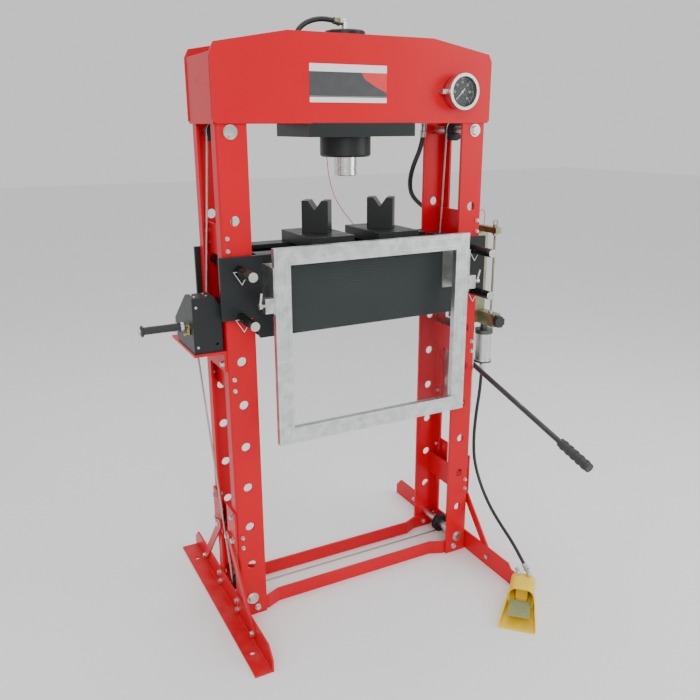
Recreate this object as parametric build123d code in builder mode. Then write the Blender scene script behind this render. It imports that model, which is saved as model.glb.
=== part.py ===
"""Hydraulic shop press: H-frame, winch-lifted bed, air/hand pump, ram, guard and foot pedal.

Frame: origin on the floor at the centre of the four floor anchor holes, +X to the pump side,
+Y to the back, +Z up. All sizes are in millimetres.
"""
import os
from math import atan2, cos, degrees, pi, radians, sin, sqrt, tan

from build123d import *

# ---------------------------------------------------------------- uprights
post_gap = 731.0            # clear width between the left and right posts
post_width = 89.5           # web of a post
post_inner = post_gap / 2
post_outer = post_inner + post_width
post_wall = 8.0
post_flange = 45.0
post_bend = 10.0            # outside bend radius of web and flange
post_top = 1740.0
frame_half_depth = 114.0    # to the outer face of a post web
hole_pitch = 140.0
hole_count = 9
first_hole_z = 191.0
hole_inset = 43.6           # from a post's outer edge to its pin holes
pin_radius = 14.0
pin_hole_radius = 14.6

# ---------------------------------------------------------------- top beam
beam_bottom = 1576.0
beam_end_top = 1760.0
beam_shoulder = 1783.0
beam_top = 1821.0
beam_peak_x = 240.0
beam_half_length = post_outer + 8.0
beam_wall = 8.0
beam_corner_cut = 8.0
beam_shoulder_in = 12.0
end_plate_wall = 6.0
inner_plate_wall = 10.0

# ---------------------------------------------------------------- feet, struts and braces
foot_half_length = 398.0
foot_wall = 6.0
foot_leg_height = 75.0
foot_base_width = 60.0
foot_end_cut = 34.0
anchor_x = post_outer + 32.0
anchor_y = 296.0
anchor_radius = 9.0
strut_width = 30.0
strut_wall = 6.0
strut_top_y = 44.0
strut_top_z = 278.0
strut_low_y = 250.0
strut_low_z = 38.0
gusset_inner_y = 30.0
gusset_outer_y = 112.0
gusset_low = 244.0
gusset_high = 388.0
brace_height = 48.0
brace_wall = 8.0
brace_mid_y = 82.0
brace_mid_half = post_inner - 55.5
brace_end_start = post_inner - 9.5
brace_floor_gap = 2.0
brace_end_in = 22.0         # from a post's outer face to the end of a brace's centre line
cross_plate_wall = 6.0
cross_plate_height = 90.0
cross_plate_x = post_outer - 25.0       # mid plane of a cross plate
cross_flange = 11.5

# ---------------------------------------------------------------- bolts
bolt_radius = 5.0
small_bolt_radius = 3.0
small_head_radius = 5.5
bolt_play = 0.3
bolt_head_height = 7.0
bolt_head_radius = 9.0
washer_radius = 10.5
washer_wall = 2.0

# ---------------------------------------------------------------- pulleys and lift cables
axle_x = post_outer - 41.0
axle_high_z = 1554.0
axle_low_z = 64.0
axle_radius = 9.0
cable_radius = 3.0
pulley_groove = 27.0
pulley_rim = 34.0
pulley_half = 9.0
groove_half = 5.0
rim_wall = 1.5
cable_gap = 0.2
pulley_play = 0.3
running_fit = 0.05
sleeve_radius = 14.0
axle_head_radius = 15.0

# ---------------------------------------------------------------- cylinder and ram
head_plate_half = 180.0
head_plate_depth = 122.0
head_plate_height = 38.0
cylinder_radius = 80.0
cylinder_bottom = 1477.0
cylinder_top = 1800.0
cap_radius = 62.0
cap_height = 42.0
ram_radius = 36.0
ram_nose_z = 1419.0
ram_length = 330.0
ram_groove_z = 1436.0
ram_groove_height = 9.0
ram_groove_depth = 1.5

# ---------------------------------------------------------------- bed
bed_top = 1211.0
bed_half_length = post_outer + 15.0
bed_end_low = 1025.0
bed_low = 962.0
bed_cut_outer = post_inner + 3.5
bed_cut_inner = post_inner - 11.5
bed_wall = 12.0
bed_post_gap = 0.5
bed_flange_half = post_inner - 15.5
bed_flange_depth = 54.0
bed_spacer_x = (155.0, post_inner - 29.5)
bed_spacer_wall = 10.0
right_cable_x = post_inner + 3.5       # where the right lift cable meets the bed
cable_bar_low = 20.0        # height of the bar that the lift cables pull on
cable_bar_half = 40.0
cable_bar_out = post_inner + 30.5
ferrule_radius = 6.0
ferrule_length = 12.0

# ---------------------------------------------------------------- bed pins
pin_front = 130.0           # how far a pin stands out of the frame in front
pin_back = 36.0
pin_chamfer = 2.0
clip_wire = 1.5

# ---------------------------------------------------------------- arbor plates and V-blocks
plate_width = 150.0
plate_depth = 236.0
plate_height = 35.0
plate_x = (-103.0, 131.0)
v_width = 85.0
v_thick = 60.0
v_height = 100.0
v_turn = 38.0               # the blocks stand turned on their plates
v_notch_half = 21.0
v_notch_depth = 27.0
rest_gap = 0.3

# ---------------------------------------------------------------- guard
guard_half = post_inner - 27.5
guard_low = 640.0
guard_high = 1240.0
guard_rail = 50.0
guard_depth = 20.0
guard_back_y = -195.0
pane_wall = 3.0
bracket_low = 1050.0
bracket_high = 1186.0
bracket_wall = 4.0
bracket_inner = guard_half - 42.0
bracket_play = 0.5
lock_low = 1056.0
lock_high = 1100.0
lock_length = 26.0
wing_radius = 5.0

# ---------------------------------------------------------------- winch
shelf_top = 929.0
shelf_wall = 8.0
shelf_reach = 97.0
shelf_front = -104.0
shelf_back = 150.0
shelf_drop = 66.0
winch_plate_wall = 4.0
winch_inner_x = -post_outer - 8.0
winch_outer_x = -post_outer - 94.0
winch_front_y = -97.0
winch_top = 1097.0
winch_roof_back = -30.0
winch_widest_y = 104.0      # the side plates reach furthest back at drum height
winch_foot_y = 72.0
winch_corner_in = 20.0      # sloped upper corner next to the post
winch_corner_high = 33.0
drum_y = 28.5
drum_z = 985.0
drum_radius = 25.0
drum_flange_radius = 40.0
drum_flange_wall = 4.0
drum_shaft_radius = 8.0
crank_reach_y = -108.0
crank_reach_z = 30.0
crank_wall = 8.0
grip_length = 112.0
grip_radius = 11.5
grip_pin_radius = 5.0

# ---------------------------------------------------------------- pump
pump_x = post_outer + 64.0
pump_plate_wall = 6.0
pump_plate_low = 560.0
pump_plate_high = 885.0
pump_plate_half = 105.0
strap_z = 1150.0
strap_half = 20.0
tank_out = post_outer + 81.0
tank_half_depth = 60.0
tank_high = 1215.0
block_front = -150.0
block_low = 888.0
block_high = 934.0
block_half_width = 17.0
arm_front = -134.0
arm_height = 20.0
arm_half_width = 12.0
rod_y = -115.0
rod_radius = 4.0
motor_y = -80.0
motor_radius = 28.0
motor_flange = 33.0
motor_low = 744.0
motor_high = 866.0
handle_radius = 9.0
handle_grip_radius = 15.0
handle_grip_length = 130.0
handle_drop = 15.2          # degrees below level at rest
handle_length = 678.0
handle_x = post_outer + 19.0
handle_pivot_y = -20.0
handle_pivot_z = 757.0
handle_pin_radius = 6.0
handle_hub_radius = 15.0
knob_radius = 21.0
knob_z = 910.0

# ---------------------------------------------------------------- pressure gauge
gauge_x = post_inner - 34.5
gauge_z = 1669.0
gauge_radius = 50.0
gauge_bezel_radius = 54.0
gauge_depth = 34.0
gauge_stand = 6.0
pointer_length = 34.0
pointer_rest = 225.0        # degrees from +X, where the pointer stands at no pressure

# ---------------------------------------------------------------- foot pedal
pedal_x = post_outer - 63.0
pedal_y = -512.0
pedal_turn = 225.0          # direction of its toe end, in degrees from +X
pedal_length = 232.0
pedal_width = 112.0
pedal_base_wall = 5.0
pedal_cover_length = 96.0
pedal_cover_width = 84.0
pedal_cover_height = 66.0
pedal_wall = 3.0
treadle_length = 112.0
treadle_width = 74.0
treadle_wall = 4.0
treadle_tilt = 9.0

# ---------------------------------------------------------------- hoses and strings
air_hose_radius = 6.0
ram_hose_radius = 8.0
top_hose_radius = 7.5
string_radius = 1.2
fitting_radius = 10.0

# ---------------------------------------------------------------- worked out from the above
hole_x = post_outer - hole_inset
hole_levels = [first_hole_z + hole_pitch * k for k in range(hole_count)]
web_inner = frame_half_depth - post_wall
upper_pin_z = hole_levels[7]
lower_pin_z = hole_levels[6]
bolt_hole = bolt_radius + bolt_play
small_bolt_hole = small_bolt_radius + bolt_play
cross_levels = [(hole_levels[k] + hole_levels[k + 1]) / 2 for k in (0, 4, 7)]
cross_levels[0] += 20.0
cross_levels[2] += 4.0
cross_bolt_x = cross_plate_x + cross_plate_wall / 2 + cross_flange / 2
cross_bolt_rise = cross_plate_height / 2 - 27.0
cable_reach = pulley_groove + cable_radius + cable_gap
wrap_radius = cable_reach - cable_gap
bed_face = frame_half_depth + bed_post_gap + bed_wall
cable_bar_in = bed_spacer_x[-1] + bed_spacer_wall
guard_front_y = guard_back_y - guard_depth
plate_top = bed_top + rest_gap + plate_height
foot_face = post_outer + foot_wall
os.makedirs("parts", exist_ok=True)


def save(piece, name):
    piece.part.label = name
    export_step(piece.part, "parts/" + name + ".step")


def save_group(pieces, name):
    """Write several separate pieces as one node."""
    group = Compound(label=name, children=[piece.part for piece in pieces])
    export_step(group, "parts/" + name + ".step")


def front_plane(y):
    """Sketch plane facing the front: local x is X, local y is Z, and it extrudes to -Y."""
    return Plane(origin=(0, y, 0), x_dir=(1, 0, 0), z_dir=(0, -1, 0))


def side_plane(x):
    """Sketch plane facing the pump side: local x is Y, local y is Z, and it extrudes to +X."""
    return Plane(origin=(x, 0, 0), x_dir=(0, 1, 0), z_dir=(1, 0, 0))


def block(x, y, z, mode=Mode.ADD):
    """A box between two limits on each axis, in the current block."""
    middle = ((x[0] + x[1]) / 2, (y[0] + y[1]) / 2, (z[0] + z[1]) / 2)
    with Locations(middle):
        Box(abs(x[1] - x[0]), abs(y[1] - y[0]), abs(z[1] - z[0]), mode=mode)


def rod(start, direction, radius, length, mode=Mode.ADD):
    """A round bar from start along direction, in the current block."""
    with Locations(Plane(origin=start, z_dir=direction)):
        Cylinder(radius, length, align=(Align.CENTER, Align.CENTER, Align.MIN), mode=mode)


def hole(middle, direction, radius, length):
    """A round hole centred at middle, in the current block."""
    with Locations(Plane(origin=middle, z_dir=direction)):
        Cylinder(radius, length, mode=Mode.SUBTRACT)


def hex_bolt(grip, radius=bolt_radius, head_radius=bolt_head_radius):
    """Bolt, washer and nut clamping `grip`, with the outer clamped face at z = 0."""
    with BuildPart() as bolt:
        Cylinder(washer_radius * head_radius / bolt_head_radius, washer_wall,
                 align=(Align.CENTER, Align.CENTER, Align.MIN))
        with BuildSketch(Plane.XY.offset(washer_wall)):
            RegularPolygon(head_radius, 6)
        extrude(amount=bolt_head_height)
        with BuildSketch(Plane.XY.offset(-grip - bolt_head_height - 3.0)):
            Circle(radius)
        extrude(amount=grip + bolt_head_height + 3.0)
        with BuildSketch(Plane.XY.offset(-grip)):
            RegularPolygon(head_radius, 6)
        extrude(amount=-bolt_head_height)
    return bolt.part


# ---------------------------------------------------------------- bolt places
cross_bolts = [(sx * cross_bolt_x, sy, z + rise) for sx in (-1, 1) for sy in (-1, 1)
               for z in cross_levels for rise in (-cross_bolt_rise, cross_bolt_rise)]
brace_bolts = [(sx * (post_inner + 32.5), sy, brace_floor_gap + brace_height / 2) for sx in (-1, 1) for sy in (-1, 1)]
leg_bolts = [(sx, sy * 92.0, z) for sx in (-1, 1) for sy in (-1, 1) for z in (22.0, 56.0)]
gusset_bolts = [(sx, sy * 86.0, z) for sx in (-1, 1) for sy in (-1, 1) for z in (281.0, 366.0)]
strut_bolts = [(sx, sy * strut_top_y, strut_top_z) for sx in (-1, 1) for sy in (-1, 1)]
strut_bolts += [(sx, sy * strut_low_y, strut_low_z) for sx in (-1, 1) for sy in (-1, 1)]
shelf_bolts = [(sy * 92.0, shelf_top - 42.0) for sy in (-1, 1)]
pump_bolts = [(sy * 86.0, z) for sy in (-1, 1) for z in (pump_plate_low + 30.0, pump_plate_high - 30.0, strap_z)]

# ---------------------------------------------------------------- posts
for side, side_name in ((-1, "left"), (1, "right")):
    pair = []
    for face in (-1, 1):
        with BuildPart() as post:
            with BuildSketch() as profile:
                with BuildLine():
                    Polyline(
                        (side * post_outer, face * frame_half_depth),
                        (side * post_inner, face * frame_half_depth),
                        (side * post_inner, face * web_inner),
                        (side * (post_outer - post_wall), face * web_inner),
                        (side * (post_outer - post_wall), face * (frame_half_depth - post_flange)),
                        (side * post_outer, face * (frame_half_depth - post_flange)),
                        close=True,
                    )
                make_face()
                corner = (side * post_outer, face * frame_half_depth, 0)
                fillet(profile.vertices().sort_by_distance(corner)[0], radius=post_bend)
                corner = (side * (post_outer - post_wall), face * web_inner, 0)
                fillet(profile.vertices().sort_by_distance(corner)[0], radius=post_bend - post_wall)
            extrude(amount=post_top)
            web_middle = face * (frame_half_depth - post_wall / 2)
            for level in hole_levels:
                hole((side * hole_x, web_middle, level), (0, 1, 0), pin_hole_radius, 2 * post_wall)
            for level in (axle_low_z, axle_high_z):
                hole((side * axle_x, web_middle, level), (0, 1, 0), axle_radius + bolt_play, 2 * post_wall)
            for places, radius in ((cross_bolts, small_bolt_hole), (brace_bolts, bolt_hole)):
                for x, sy, z in places:
                    if x * side > 0 and sy == face:
                        hole((x, web_middle, z), (0, 1, 0), radius, 2 * post_wall)
            flange_places = [(y, z) for sx, y, z in leg_bolts + gusset_bolts if sx == side]
            flange_places += shelf_bolts if side < 0 else pump_bolts
            for y, z in flange_places:
                if y * face > 0:
                    hole((side * (post_outer - post_wall / 2), y, z), (1, 0, 0), bolt_hole, 2 * post_wall)
        pair.append(post)
    save_group(pair, "posts_" + side_name)

# ---------------------------------------------------------------- top beam
beam_outline = [
    (-beam_half_length + beam_corner_cut, beam_bottom), (beam_half_length - beam_corner_cut, beam_bottom),
    (beam_half_length, beam_bottom + beam_corner_cut), (beam_half_length, beam_end_top),
    (beam_half_length - beam_shoulder_in, beam_shoulder), (beam_peak_x, beam_top), (-beam_peak_x, beam_top),
    (-beam_half_length + beam_shoulder_in, beam_shoulder), (-beam_half_length, beam_end_top),
    (-beam_half_length, beam_bottom + beam_corner_cut),
]
beam_face = frame_half_depth + beam_wall
pair = []
for face in (-1, 1):
    with BuildPart() as beam_plate:
        with BuildSketch(front_plane(face * frame_half_depth)):
            with BuildLine():
                Polyline(*beam_outline, close=True)
            make_face()
        extrude(amount=-face * beam_wall)
    pair.append(beam_plate)
save_group(pair, "beam_plates")

with BuildPart() as beam_end_plates:
    for side in (-1, 1):
        block((side * post_outer, side * (post_outer + end_plate_wall)),
              (-frame_half_depth, frame_half_depth), (beam_bottom, beam_end_top))
        inner_x = cylinder_radius + 24.0
        block((side * inner_x, side * (inner_x + inner_plate_wall)),
              (-frame_half_depth, frame_half_depth), (beam_bottom, beam_shoulder))
save(beam_end_plates, "beam_end_plates")

# ---------------------------------------------------------------- feet
pair = []
for side in (-1, 1):
    with BuildPart() as foot:
        with BuildSketch(side_plane(side * post_outer)):
            with BuildLine():
                Polyline(
                    (-foot_half_length, 0), (foot_half_length, 0),
                    (foot_half_length, foot_leg_height - foot_end_cut),
                    (foot_half_length - foot_end_cut, foot_leg_height),
                    (-foot_half_length + foot_end_cut, foot_leg_height),
                    (-foot_half_length, foot_leg_height - foot_end_cut), close=True,
                )
            make_face()
        extrude(amount=side * foot_wall)
        block((side * post_outer, side * (post_outer + foot_base_width)),
              (-foot_half_length, foot_half_length), (0, foot_wall))
        for y in (-anchor_y, anchor_y):
            hole((side * anchor_x, y, foot_wall / 2), (0, 0, 1), anchor_radius, 3 * foot_wall)
        for sx, y, z in leg_bolts + strut_bolts:
            if sx == side and z < foot_leg_height:
                hole((side * (post_outer + foot_wall / 2), y, z), (1, 0, 0), bolt_hole, 2 * foot_wall)
    pair.append(foot)
save_group(pair, "feet")

with BuildPart() as strut_gussets:
    for side in (-1, 1):
        for face in (-1, 1):
            block((side * post_outer, side * foot_face), (face * gusset_inner_y, face * gusset_outer_y),
                  (gusset_low, gusset_high))
    for sx, y, z in gusset_bolts + strut_bolts:
        if z > foot_leg_height:
            hole((sx * (post_outer + foot_wall / 2), y, z), (1, 0, 0), bolt_hole, 2 * foot_wall)

strut_run = strut_low_y - strut_top_y
strut_fall = strut_low_z - strut_top_z
strut_length = sqrt(strut_run**2 + strut_fall**2)
with BuildPart() as struts:
    for side in (-1, 1):
        for face in (-1, 1):
            middle = (face * (strut_top_y + strut_low_y) / 2, (strut_top_z + strut_low_z) / 2)
            with BuildSketch(side_plane(side * foot_face)):
                with Locations(middle):
                    SlotCenterToCenter(strut_length, strut_width,
                                       rotation=degrees(atan2(strut_fall, face * strut_run)))
            extrude(amount=side * strut_wall)
    for sx, y, z in strut_bolts:
        hole((sx * (foot_face + strut_wall / 2), y, z), (1, 0, 0), bolt_hole, 2 * strut_wall)
save_group([strut_gussets, struts], "struts")

# ---------------------------------------------------------------- floor braces
brace_end_y = web_inner - brace_wall / 2
pair = []
for face in (-1, 1):
    with BuildPart() as brace:
        with BuildSketch(Plane.XY.offset(brace_floor_gap)):
            with BuildLine():
                Polyline(
                    (-post_outer + brace_end_in, face * brace_end_y), (-brace_end_start, face * brace_end_y),
                    (-brace_mid_half, face * brace_mid_y), (brace_mid_half, face * brace_mid_y),
                    (brace_end_start, face * brace_end_y), (post_outer - brace_end_in, face * brace_end_y),
                )
                offset(amount=brace_wall / 2, side=Side.BOTH)
            make_face()
        extrude(amount=brace_height)
        for x, sy, z in brace_bolts:
            if sy == face:
                hole((x, face * brace_end_y, z), (0, 1, 0), bolt_hole, 2 * brace_wall)
    pair.append(brace)
save_group(pair, "floor_braces")

# ---------------------------------------------------------------- cross plates between front and rear posts
plate_half = cross_plate_wall / 2
with BuildPart() as cross_plates:
    for side in (-1, 1):
        for level in cross_levels:
            span_z = (level - cross_plate_height / 2, level + cross_plate_height / 2)
            block((side * (cross_plate_x - plate_half), side * (cross_plate_x + plate_half)),
                  (-web_inner, web_inner), span_z)
            for face in (-1, 1):
                block((side * (cross_plate_x + plate_half), side * (cross_plate_x + plate_half + cross_flange)),
                      (face * (web_inner - cross_plate_wall), face * web_inner), span_z)
    for x, sy, z in cross_bolts:
        hole((x, sy * (web_inner - plate_half), z), (0, 1, 0), small_bolt_hole, 2 * cross_plate_wall)
save(cross_plates, "cross_plates")

# ---------------------------------------------------------------- frame bolts
with BuildPart() as frame_bolts:
    small_bolt = hex_bolt(post_wall + cross_plate_wall, small_bolt_radius, small_head_radius)
    for x, sy, z in cross_bolts:
        with Locations(Plane(origin=(x, sy * frame_half_depth, z), z_dir=(0, sy, 0))):
            add(small_bolt)
    brace_bolt = hex_bolt(post_wall + brace_wall)
    for x, sy, z in brace_bolts:
        with Locations(Plane(origin=(x, sy * frame_half_depth, z), z_dir=(0, sy, 0))):
            add(brace_bolt)
    flange_bolt = hex_bolt(foot_wall + post_wall)
    for sx, y, z in leg_bolts + gusset_bolts:
        with Locations(Plane(origin=(sx * foot_face, y, z), z_dir=(sx, 0, 0))):
            add(flange_bolt)
    for y, z in pump_bolts:
        with Locations(Plane(origin=(post_outer + pump_plate_wall, y, z), z_dir=(1, 0, 0))):
            add(flange_bolt)
    shelf_bolt = hex_bolt(shelf_wall + post_wall)
    for y, z in shelf_bolts:
        with Locations(Plane(origin=(-post_outer - shelf_wall, y, z), z_dir=(-1, 0, 0))):
            add(shelf_bolt)
    strut_bolt = hex_bolt(foot_wall + strut_wall)
    for sx, y, z in strut_bolts:
        with Locations(Plane(origin=(sx * (foot_face + strut_wall), y, z), z_dir=(sx, 0, 0))):
            add(strut_bolt)
save(frame_bolts, "frame_bolts")

# ---------------------------------------------------------------- pulleys on their axles
pulley_places = [("top_left", -1, axle_high_z), ("top_right", 1, axle_high_z),
                 ("bottom_left", -1, axle_low_z), ("bottom_right", 1, axle_low_z)]
sleeve_start = pulley_half + pulley_play
with BuildPart() as pulley_axles:
    for name, side, z in pulley_places:
        rod((side * axle_x, -frame_half_depth - washer_wall, z), (0, 1, 0), axle_radius,
            2 * (frame_half_depth + washer_wall))
        for face in (-1, 1):
            rod((side * axle_x, face * frame_half_depth, z), (0, face, 0), axle_head_radius + 5.0, washer_wall)
            with BuildSketch(Plane(origin=(side * axle_x, face * (frame_half_depth + washer_wall), z),
                                   z_dir=(0, face, 0))):
                RegularPolygon(axle_head_radius, 6)
            extrude(amount=bolt_head_height + 2.0)

with BuildPart() as pulley_sleeves:
    for name, side, z in pulley_places:
        for face in (-1, 1):
            rod((side * axle_x, face * sleeve_start, z), (0, face, 0), sleeve_radius, web_inner - sleeve_start)
        hole((side * axle_x, 0, z), (0, 1, 0), axle_radius + running_fit, 2 * frame_half_depth)
save_group([pulley_axles, pulley_sleeves], "pulley_axles")

for name, side, z in pulley_places:
    with BuildPart() as pulley:
        with BuildSketch(Plane(origin=(side * axle_x, 0, z), x_dir=(1, 0, 0), z_dir=(0, 0, 1))):
            with BuildLine():
                Polyline(
                    (axle_radius + running_fit, -pulley_half), (pulley_rim, -pulley_half),
                    (pulley_rim, -pulley_half + rim_wall), (pulley_groove, -groove_half),
                    (pulley_groove, groove_half), (pulley_rim, pulley_half - rim_wall),
                    (pulley_rim, pulley_half), (axle_radius + running_fit, pulley_half), close=True,
                )
            make_face()
        revolve(axis=Axis((side * axle_x, 0, z), (0, 1, 0)))
    save(pulley, "pulley_" + name)

# ---------------------------------------------------------------- hydraulic cylinder and ram
head_plate_low = beam_bottom - head_plate_height
ram_bore = ram_radius + running_fit
ram_top = ram_nose_z + ram_length
with BuildPart() as head_plate:
    block((-head_plate_half, head_plate_half), (-head_plate_depth, head_plate_depth),
          (head_plate_low, beam_bottom))
    hole((0, 0, beam_bottom), (0, 0, 1), cylinder_radius + running_fit, 4 * head_plate_height)
save(head_plate, "head_plate")

with BuildPart() as cylinder_body:
    rod((0, 0, cylinder_bottom), (0, 0, 1), cylinder_radius, cylinder_top - cylinder_bottom)
    rod((0, 0, cylinder_bottom - 1.0), (0, 0, 1), ram_bore, ram_top + 12.0 - cylinder_bottom, Mode.SUBTRACT)
    bottom_edge = cylinder_body.edges().filter_by(GeomType.CIRCLE).group_by(Axis.Z)[0].sort_by(SortBy.RADIUS)[-1]
    chamfer(bottom_edge, length=5.0)

with BuildPart() as cylinder_cap:
    rod((0, 0, cylinder_top), (0, 0, 1), cap_radius, cap_height)
    chamfer(cylinder_cap.edges().group_by(Axis.Z)[-1], length=4.0)
save_group([cylinder_body, cylinder_cap], "cylinder_body")

with BuildPart() as ram:
    rod((0, 0, ram_nose_z), (0, 0, 1), ram_radius, ram_length)
    with BuildSketch(Plane.XY.offset(ram_groove_z)):
        Circle(ram_radius + 1.0)
        Circle(ram_radius - ram_groove_depth, mode=Mode.SUBTRACT)
    extrude(amount=ram_groove_height, mode=Mode.SUBTRACT)
    chamfer(ram.edges().group_by(Axis.Z)[0], length=2.0)
save(ram, "ram")

# ---------------------------------------------------------------- bed
bed_outline = [
    (-bed_half_length, bed_top), (bed_half_length, bed_top), (bed_half_length, bed_end_low),
    (bed_cut_outer, bed_end_low), (bed_cut_inner, bed_low), (-bed_cut_inner, bed_low),
    (-bed_cut_outer, bed_end_low), (-bed_half_length, bed_end_low),
]
bed_inner = frame_half_depth + bed_post_gap
for face, face_name in ((-1, "front"), (1, "rear")):
    with BuildPart() as rail:
        with BuildSketch(front_plane(face * bed_inner)):
            with BuildLine():
                Polyline(*bed_outline, close=True)
            make_face()
        extrude(amount=-face * bed_wall)
        for low in (bed_low, bed_top - bed_wall):
            block((-bed_flange_half, bed_flange_half),
                  (face * bed_inner, face * (bed_inner - bed_flange_depth)), (low, low + bed_wall))
        for x in (-hole_x, hole_x):
            for z in (lower_pin_z, upper_pin_z):
                hole((x, face * (bed_inner + bed_wall / 2), z), (0, 1, 0), pin_hole_radius, 2 * bed_wall)
    save(rail, "bed_" + face_name + "_rail")

with BuildPart() as bed_spacers:
    for side in (-1, 1):
        for x in bed_spacer_x:
            block((side * x, side * (x + bed_spacer_wall)), (-bed_inner, bed_inner),
                  (bed_low + bed_wall, bed_top - bed_wall))
        block((side * cable_bar_in, side * cable_bar_out), (-cable_bar_half, cable_bar_half),
              (bed_top - cable_bar_low, bed_top))
    for x in (-axle_x + cable_reach, right_cable_x):
        hole((x, 0, bed_top), (0, 0, 1), cable_radius + 2.0, 4 * cable_bar_low)
save(bed_spacers, "bed_spacers")

# ---------------------------------------------------------------- bed pins with their wire clips
clip_y = -bed_face - 20.0
clip_half = 24.0
clip_drop = 38.0
for side, side_name in ((-1, "left"), (1, "right")):
    for z, level_name in ((upper_pin_z, "upper"), (lower_pin_z, "lower")):
        with BuildPart() as pin:
            rod((side * hole_x, -frame_half_depth - pin_front, z), (0, 1, 0), pin_radius,
                2 * frame_half_depth + pin_front + pin_back)
            chamfer(pin.edges().filter_by(GeomType.CIRCLE), length=pin_chamfer)
            hole((side * hole_x, clip_y, z), (1, 0, 0), clip_wire + bolt_play, 3 * pin_radius)
            corners = [(side * hole_x - clip_half, clip_y, z), (side * hole_x + clip_half, clip_y, z),
                       (side * hole_x, clip_y, z - clip_drop)]
            for start, end in zip(corners, corners[1:] + corners[:1]):
                run = Vector(*end) - Vector(*start)
                rod(start, run, clip_wire, run.length)
                with Locations(start):
                    Sphere(clip_wire)
        save(pin, "pin_" + level_name + "_" + side_name)

# ---------------------------------------------------------------- arbor plates and V-blocks
for x, side_name in zip(plate_x, ("left", "right")):
    with BuildPart() as arbor_plate:
        block((x - plate_width / 2, x + plate_width / 2), (-plate_depth / 2, plate_depth / 2),
              (bed_top + rest_gap, plate_top))
        chamfer(arbor_plate.edges().filter_by(Axis.Z), length=4.0)
    save(arbor_plate, "arbor_plate_" + side_name)

    turn = radians(v_turn)
    across = (cos(turn), -sin(turn), 0)
    facing = (-sin(turn), -cos(turn), 0)
    start = (x - facing[0] * v_thick / 2, -facing[1] * v_thick / 2, plate_top + rest_gap)
    with BuildPart() as v_block:
        with BuildSketch(Plane(origin=start, x_dir=across, z_dir=facing)):
            with BuildLine():
                Polyline(
                    (-v_width / 2, 0), (v_width / 2, 0), (v_width / 2, v_height), (v_notch_half, v_height),
                    (2.0, v_height - v_notch_depth), (-2.0, v_height - v_notch_depth),
                    (-v_notch_half, v_height), (-v_width / 2, v_height), close=True,
                )
            make_face()
        extrude(amount=v_thick)
        chamfer(v_block.edges().filter_by(Axis.Z), length=2.0)
    save(v_block, "v_block_" + side_name)

# ---------------------------------------------------------------- guard and its brackets
guard_inner = guard_half - guard_rail
with BuildPart() as guard_frame:
    for side in (-1, 1):
        block((side * guard_inner, side * guard_half), (guard_front_y, guard_back_y), (guard_low, guard_high))
    for low in (guard_low, guard_high - guard_rail):
        block((-guard_inner, guard_inner), (guard_front_y, guard_back_y), (low, low + guard_rail))

guard_middle_y = (guard_front_y + guard_back_y) / 2
with BuildPart() as guard_pane:
    block((-guard_inner, guard_inner), (guard_middle_y - pane_wall / 2, guard_middle_y + pane_wall / 2),
          (guard_low + guard_rail, guard_high - guard_rail))
save(guard_pane, "guard_pane")

guard_screw_x = (-guard_half + 12.0, -guard_inner + 12.0, -160.0, 0.0, 160.0, guard_inner - 12.0, guard_half - 12.0)
with BuildPart() as guard_screws:
    for x in guard_screw_x:
        for z in (guard_low + guard_rail / 2, guard_high - guard_rail / 2):
            rod((x, guard_front_y, z), (0, -1, 0), 4.0, 2.0)
    for side in (-1, 1):
        for z in (770.0, 900.0, 1030.0, 1120.0):
            rod((side * (guard_half - guard_rail / 2), guard_front_y, z), (0, -1, 0), 4.0, 2.0)
save_group([guard_frame, guard_screws], "guard_frame")

bracket_side = guard_half + bracket_play
bracket_outer = bracket_side + bracket_wall
pad_front = guard_back_y + rest_gap
lock_z = (lock_low + lock_high) / 2
with BuildPart() as guard_brackets:
    for side in (-1, 1):
        span_z = (bracket_low, bracket_high)
        block((side * bracket_inner, side * bracket_outer), (-bed_face - bracket_wall, -bed_face), span_z)
        block((side * bracket_side, side * bracket_outer), (guard_front_y, -bed_face), span_z)
        block((side * bracket_inner, side * bracket_outer), (pad_front, pad_front + bracket_wall), span_z)
        block((side * bracket_outer, side * (bracket_outer + lock_length)),
              (guard_front_y, pad_front + bracket_wall), (lock_low, lock_high))
        hole((side * bracket_outer, guard_middle_y, lock_z), (1, 0, 0), wing_radius + running_fit, 3 * lock_length)
save(guard_brackets, "guard_brackets")

for side, side_name in ((-1, "left"), (1, "right")):
    with BuildPart() as wing_screw:
        head_x = side * (bracket_outer + lock_length + 8.0)
        rod((side * (guard_half + rest_gap), guard_middle_y, lock_z), (side, 0, 0), wing_radius,
            bracket_outer + lock_length + 12.0 - guard_half - rest_gap)
        rod((head_x, guard_middle_y, lock_z), (side, 0, 0), 9.0, 9.0)
        rod((head_x + side * 4.5, guard_middle_y, lock_z), (0, -0.35, 1), 3.5, 42.0)
    save(wing_screw, "wing_screw_" + side_name)

# ---------------------------------------------------------------- winch on its shelf
lower_cable_drum = (winch_outer_x + 42.0, drum_y + drum_radius + cable_radius + rest_gap, drum_z)
upper_cable_drum = (winch_outer_x + 68.0, drum_y - drum_radius - cable_radius - rest_gap, drum_z)
shelf_hole_x = winch_outer_x + 46.0
shelf_hole_y = 53.0
with BuildPart() as winch_shelf:
    block((-post_outer - shelf_reach, -post_outer), (shelf_front, shelf_back), (shelf_top - shelf_wall, shelf_top))
    block((-post_outer - shelf_wall, -post_outer), (shelf_front, shelf_back),
          (shelf_top - shelf_drop, shelf_top - shelf_wall))
    hole((shelf_hole_x, shelf_hole_y, shelf_top), (0, 0, 1), 9.0, 4 * shelf_wall)
    for y, z in shelf_bolts:
        hole((-post_outer - shelf_wall / 2, y, z), (1, 0, 0), bolt_hole, 2 * shelf_wall)
save(winch_shelf, "winch_shelf")

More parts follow.
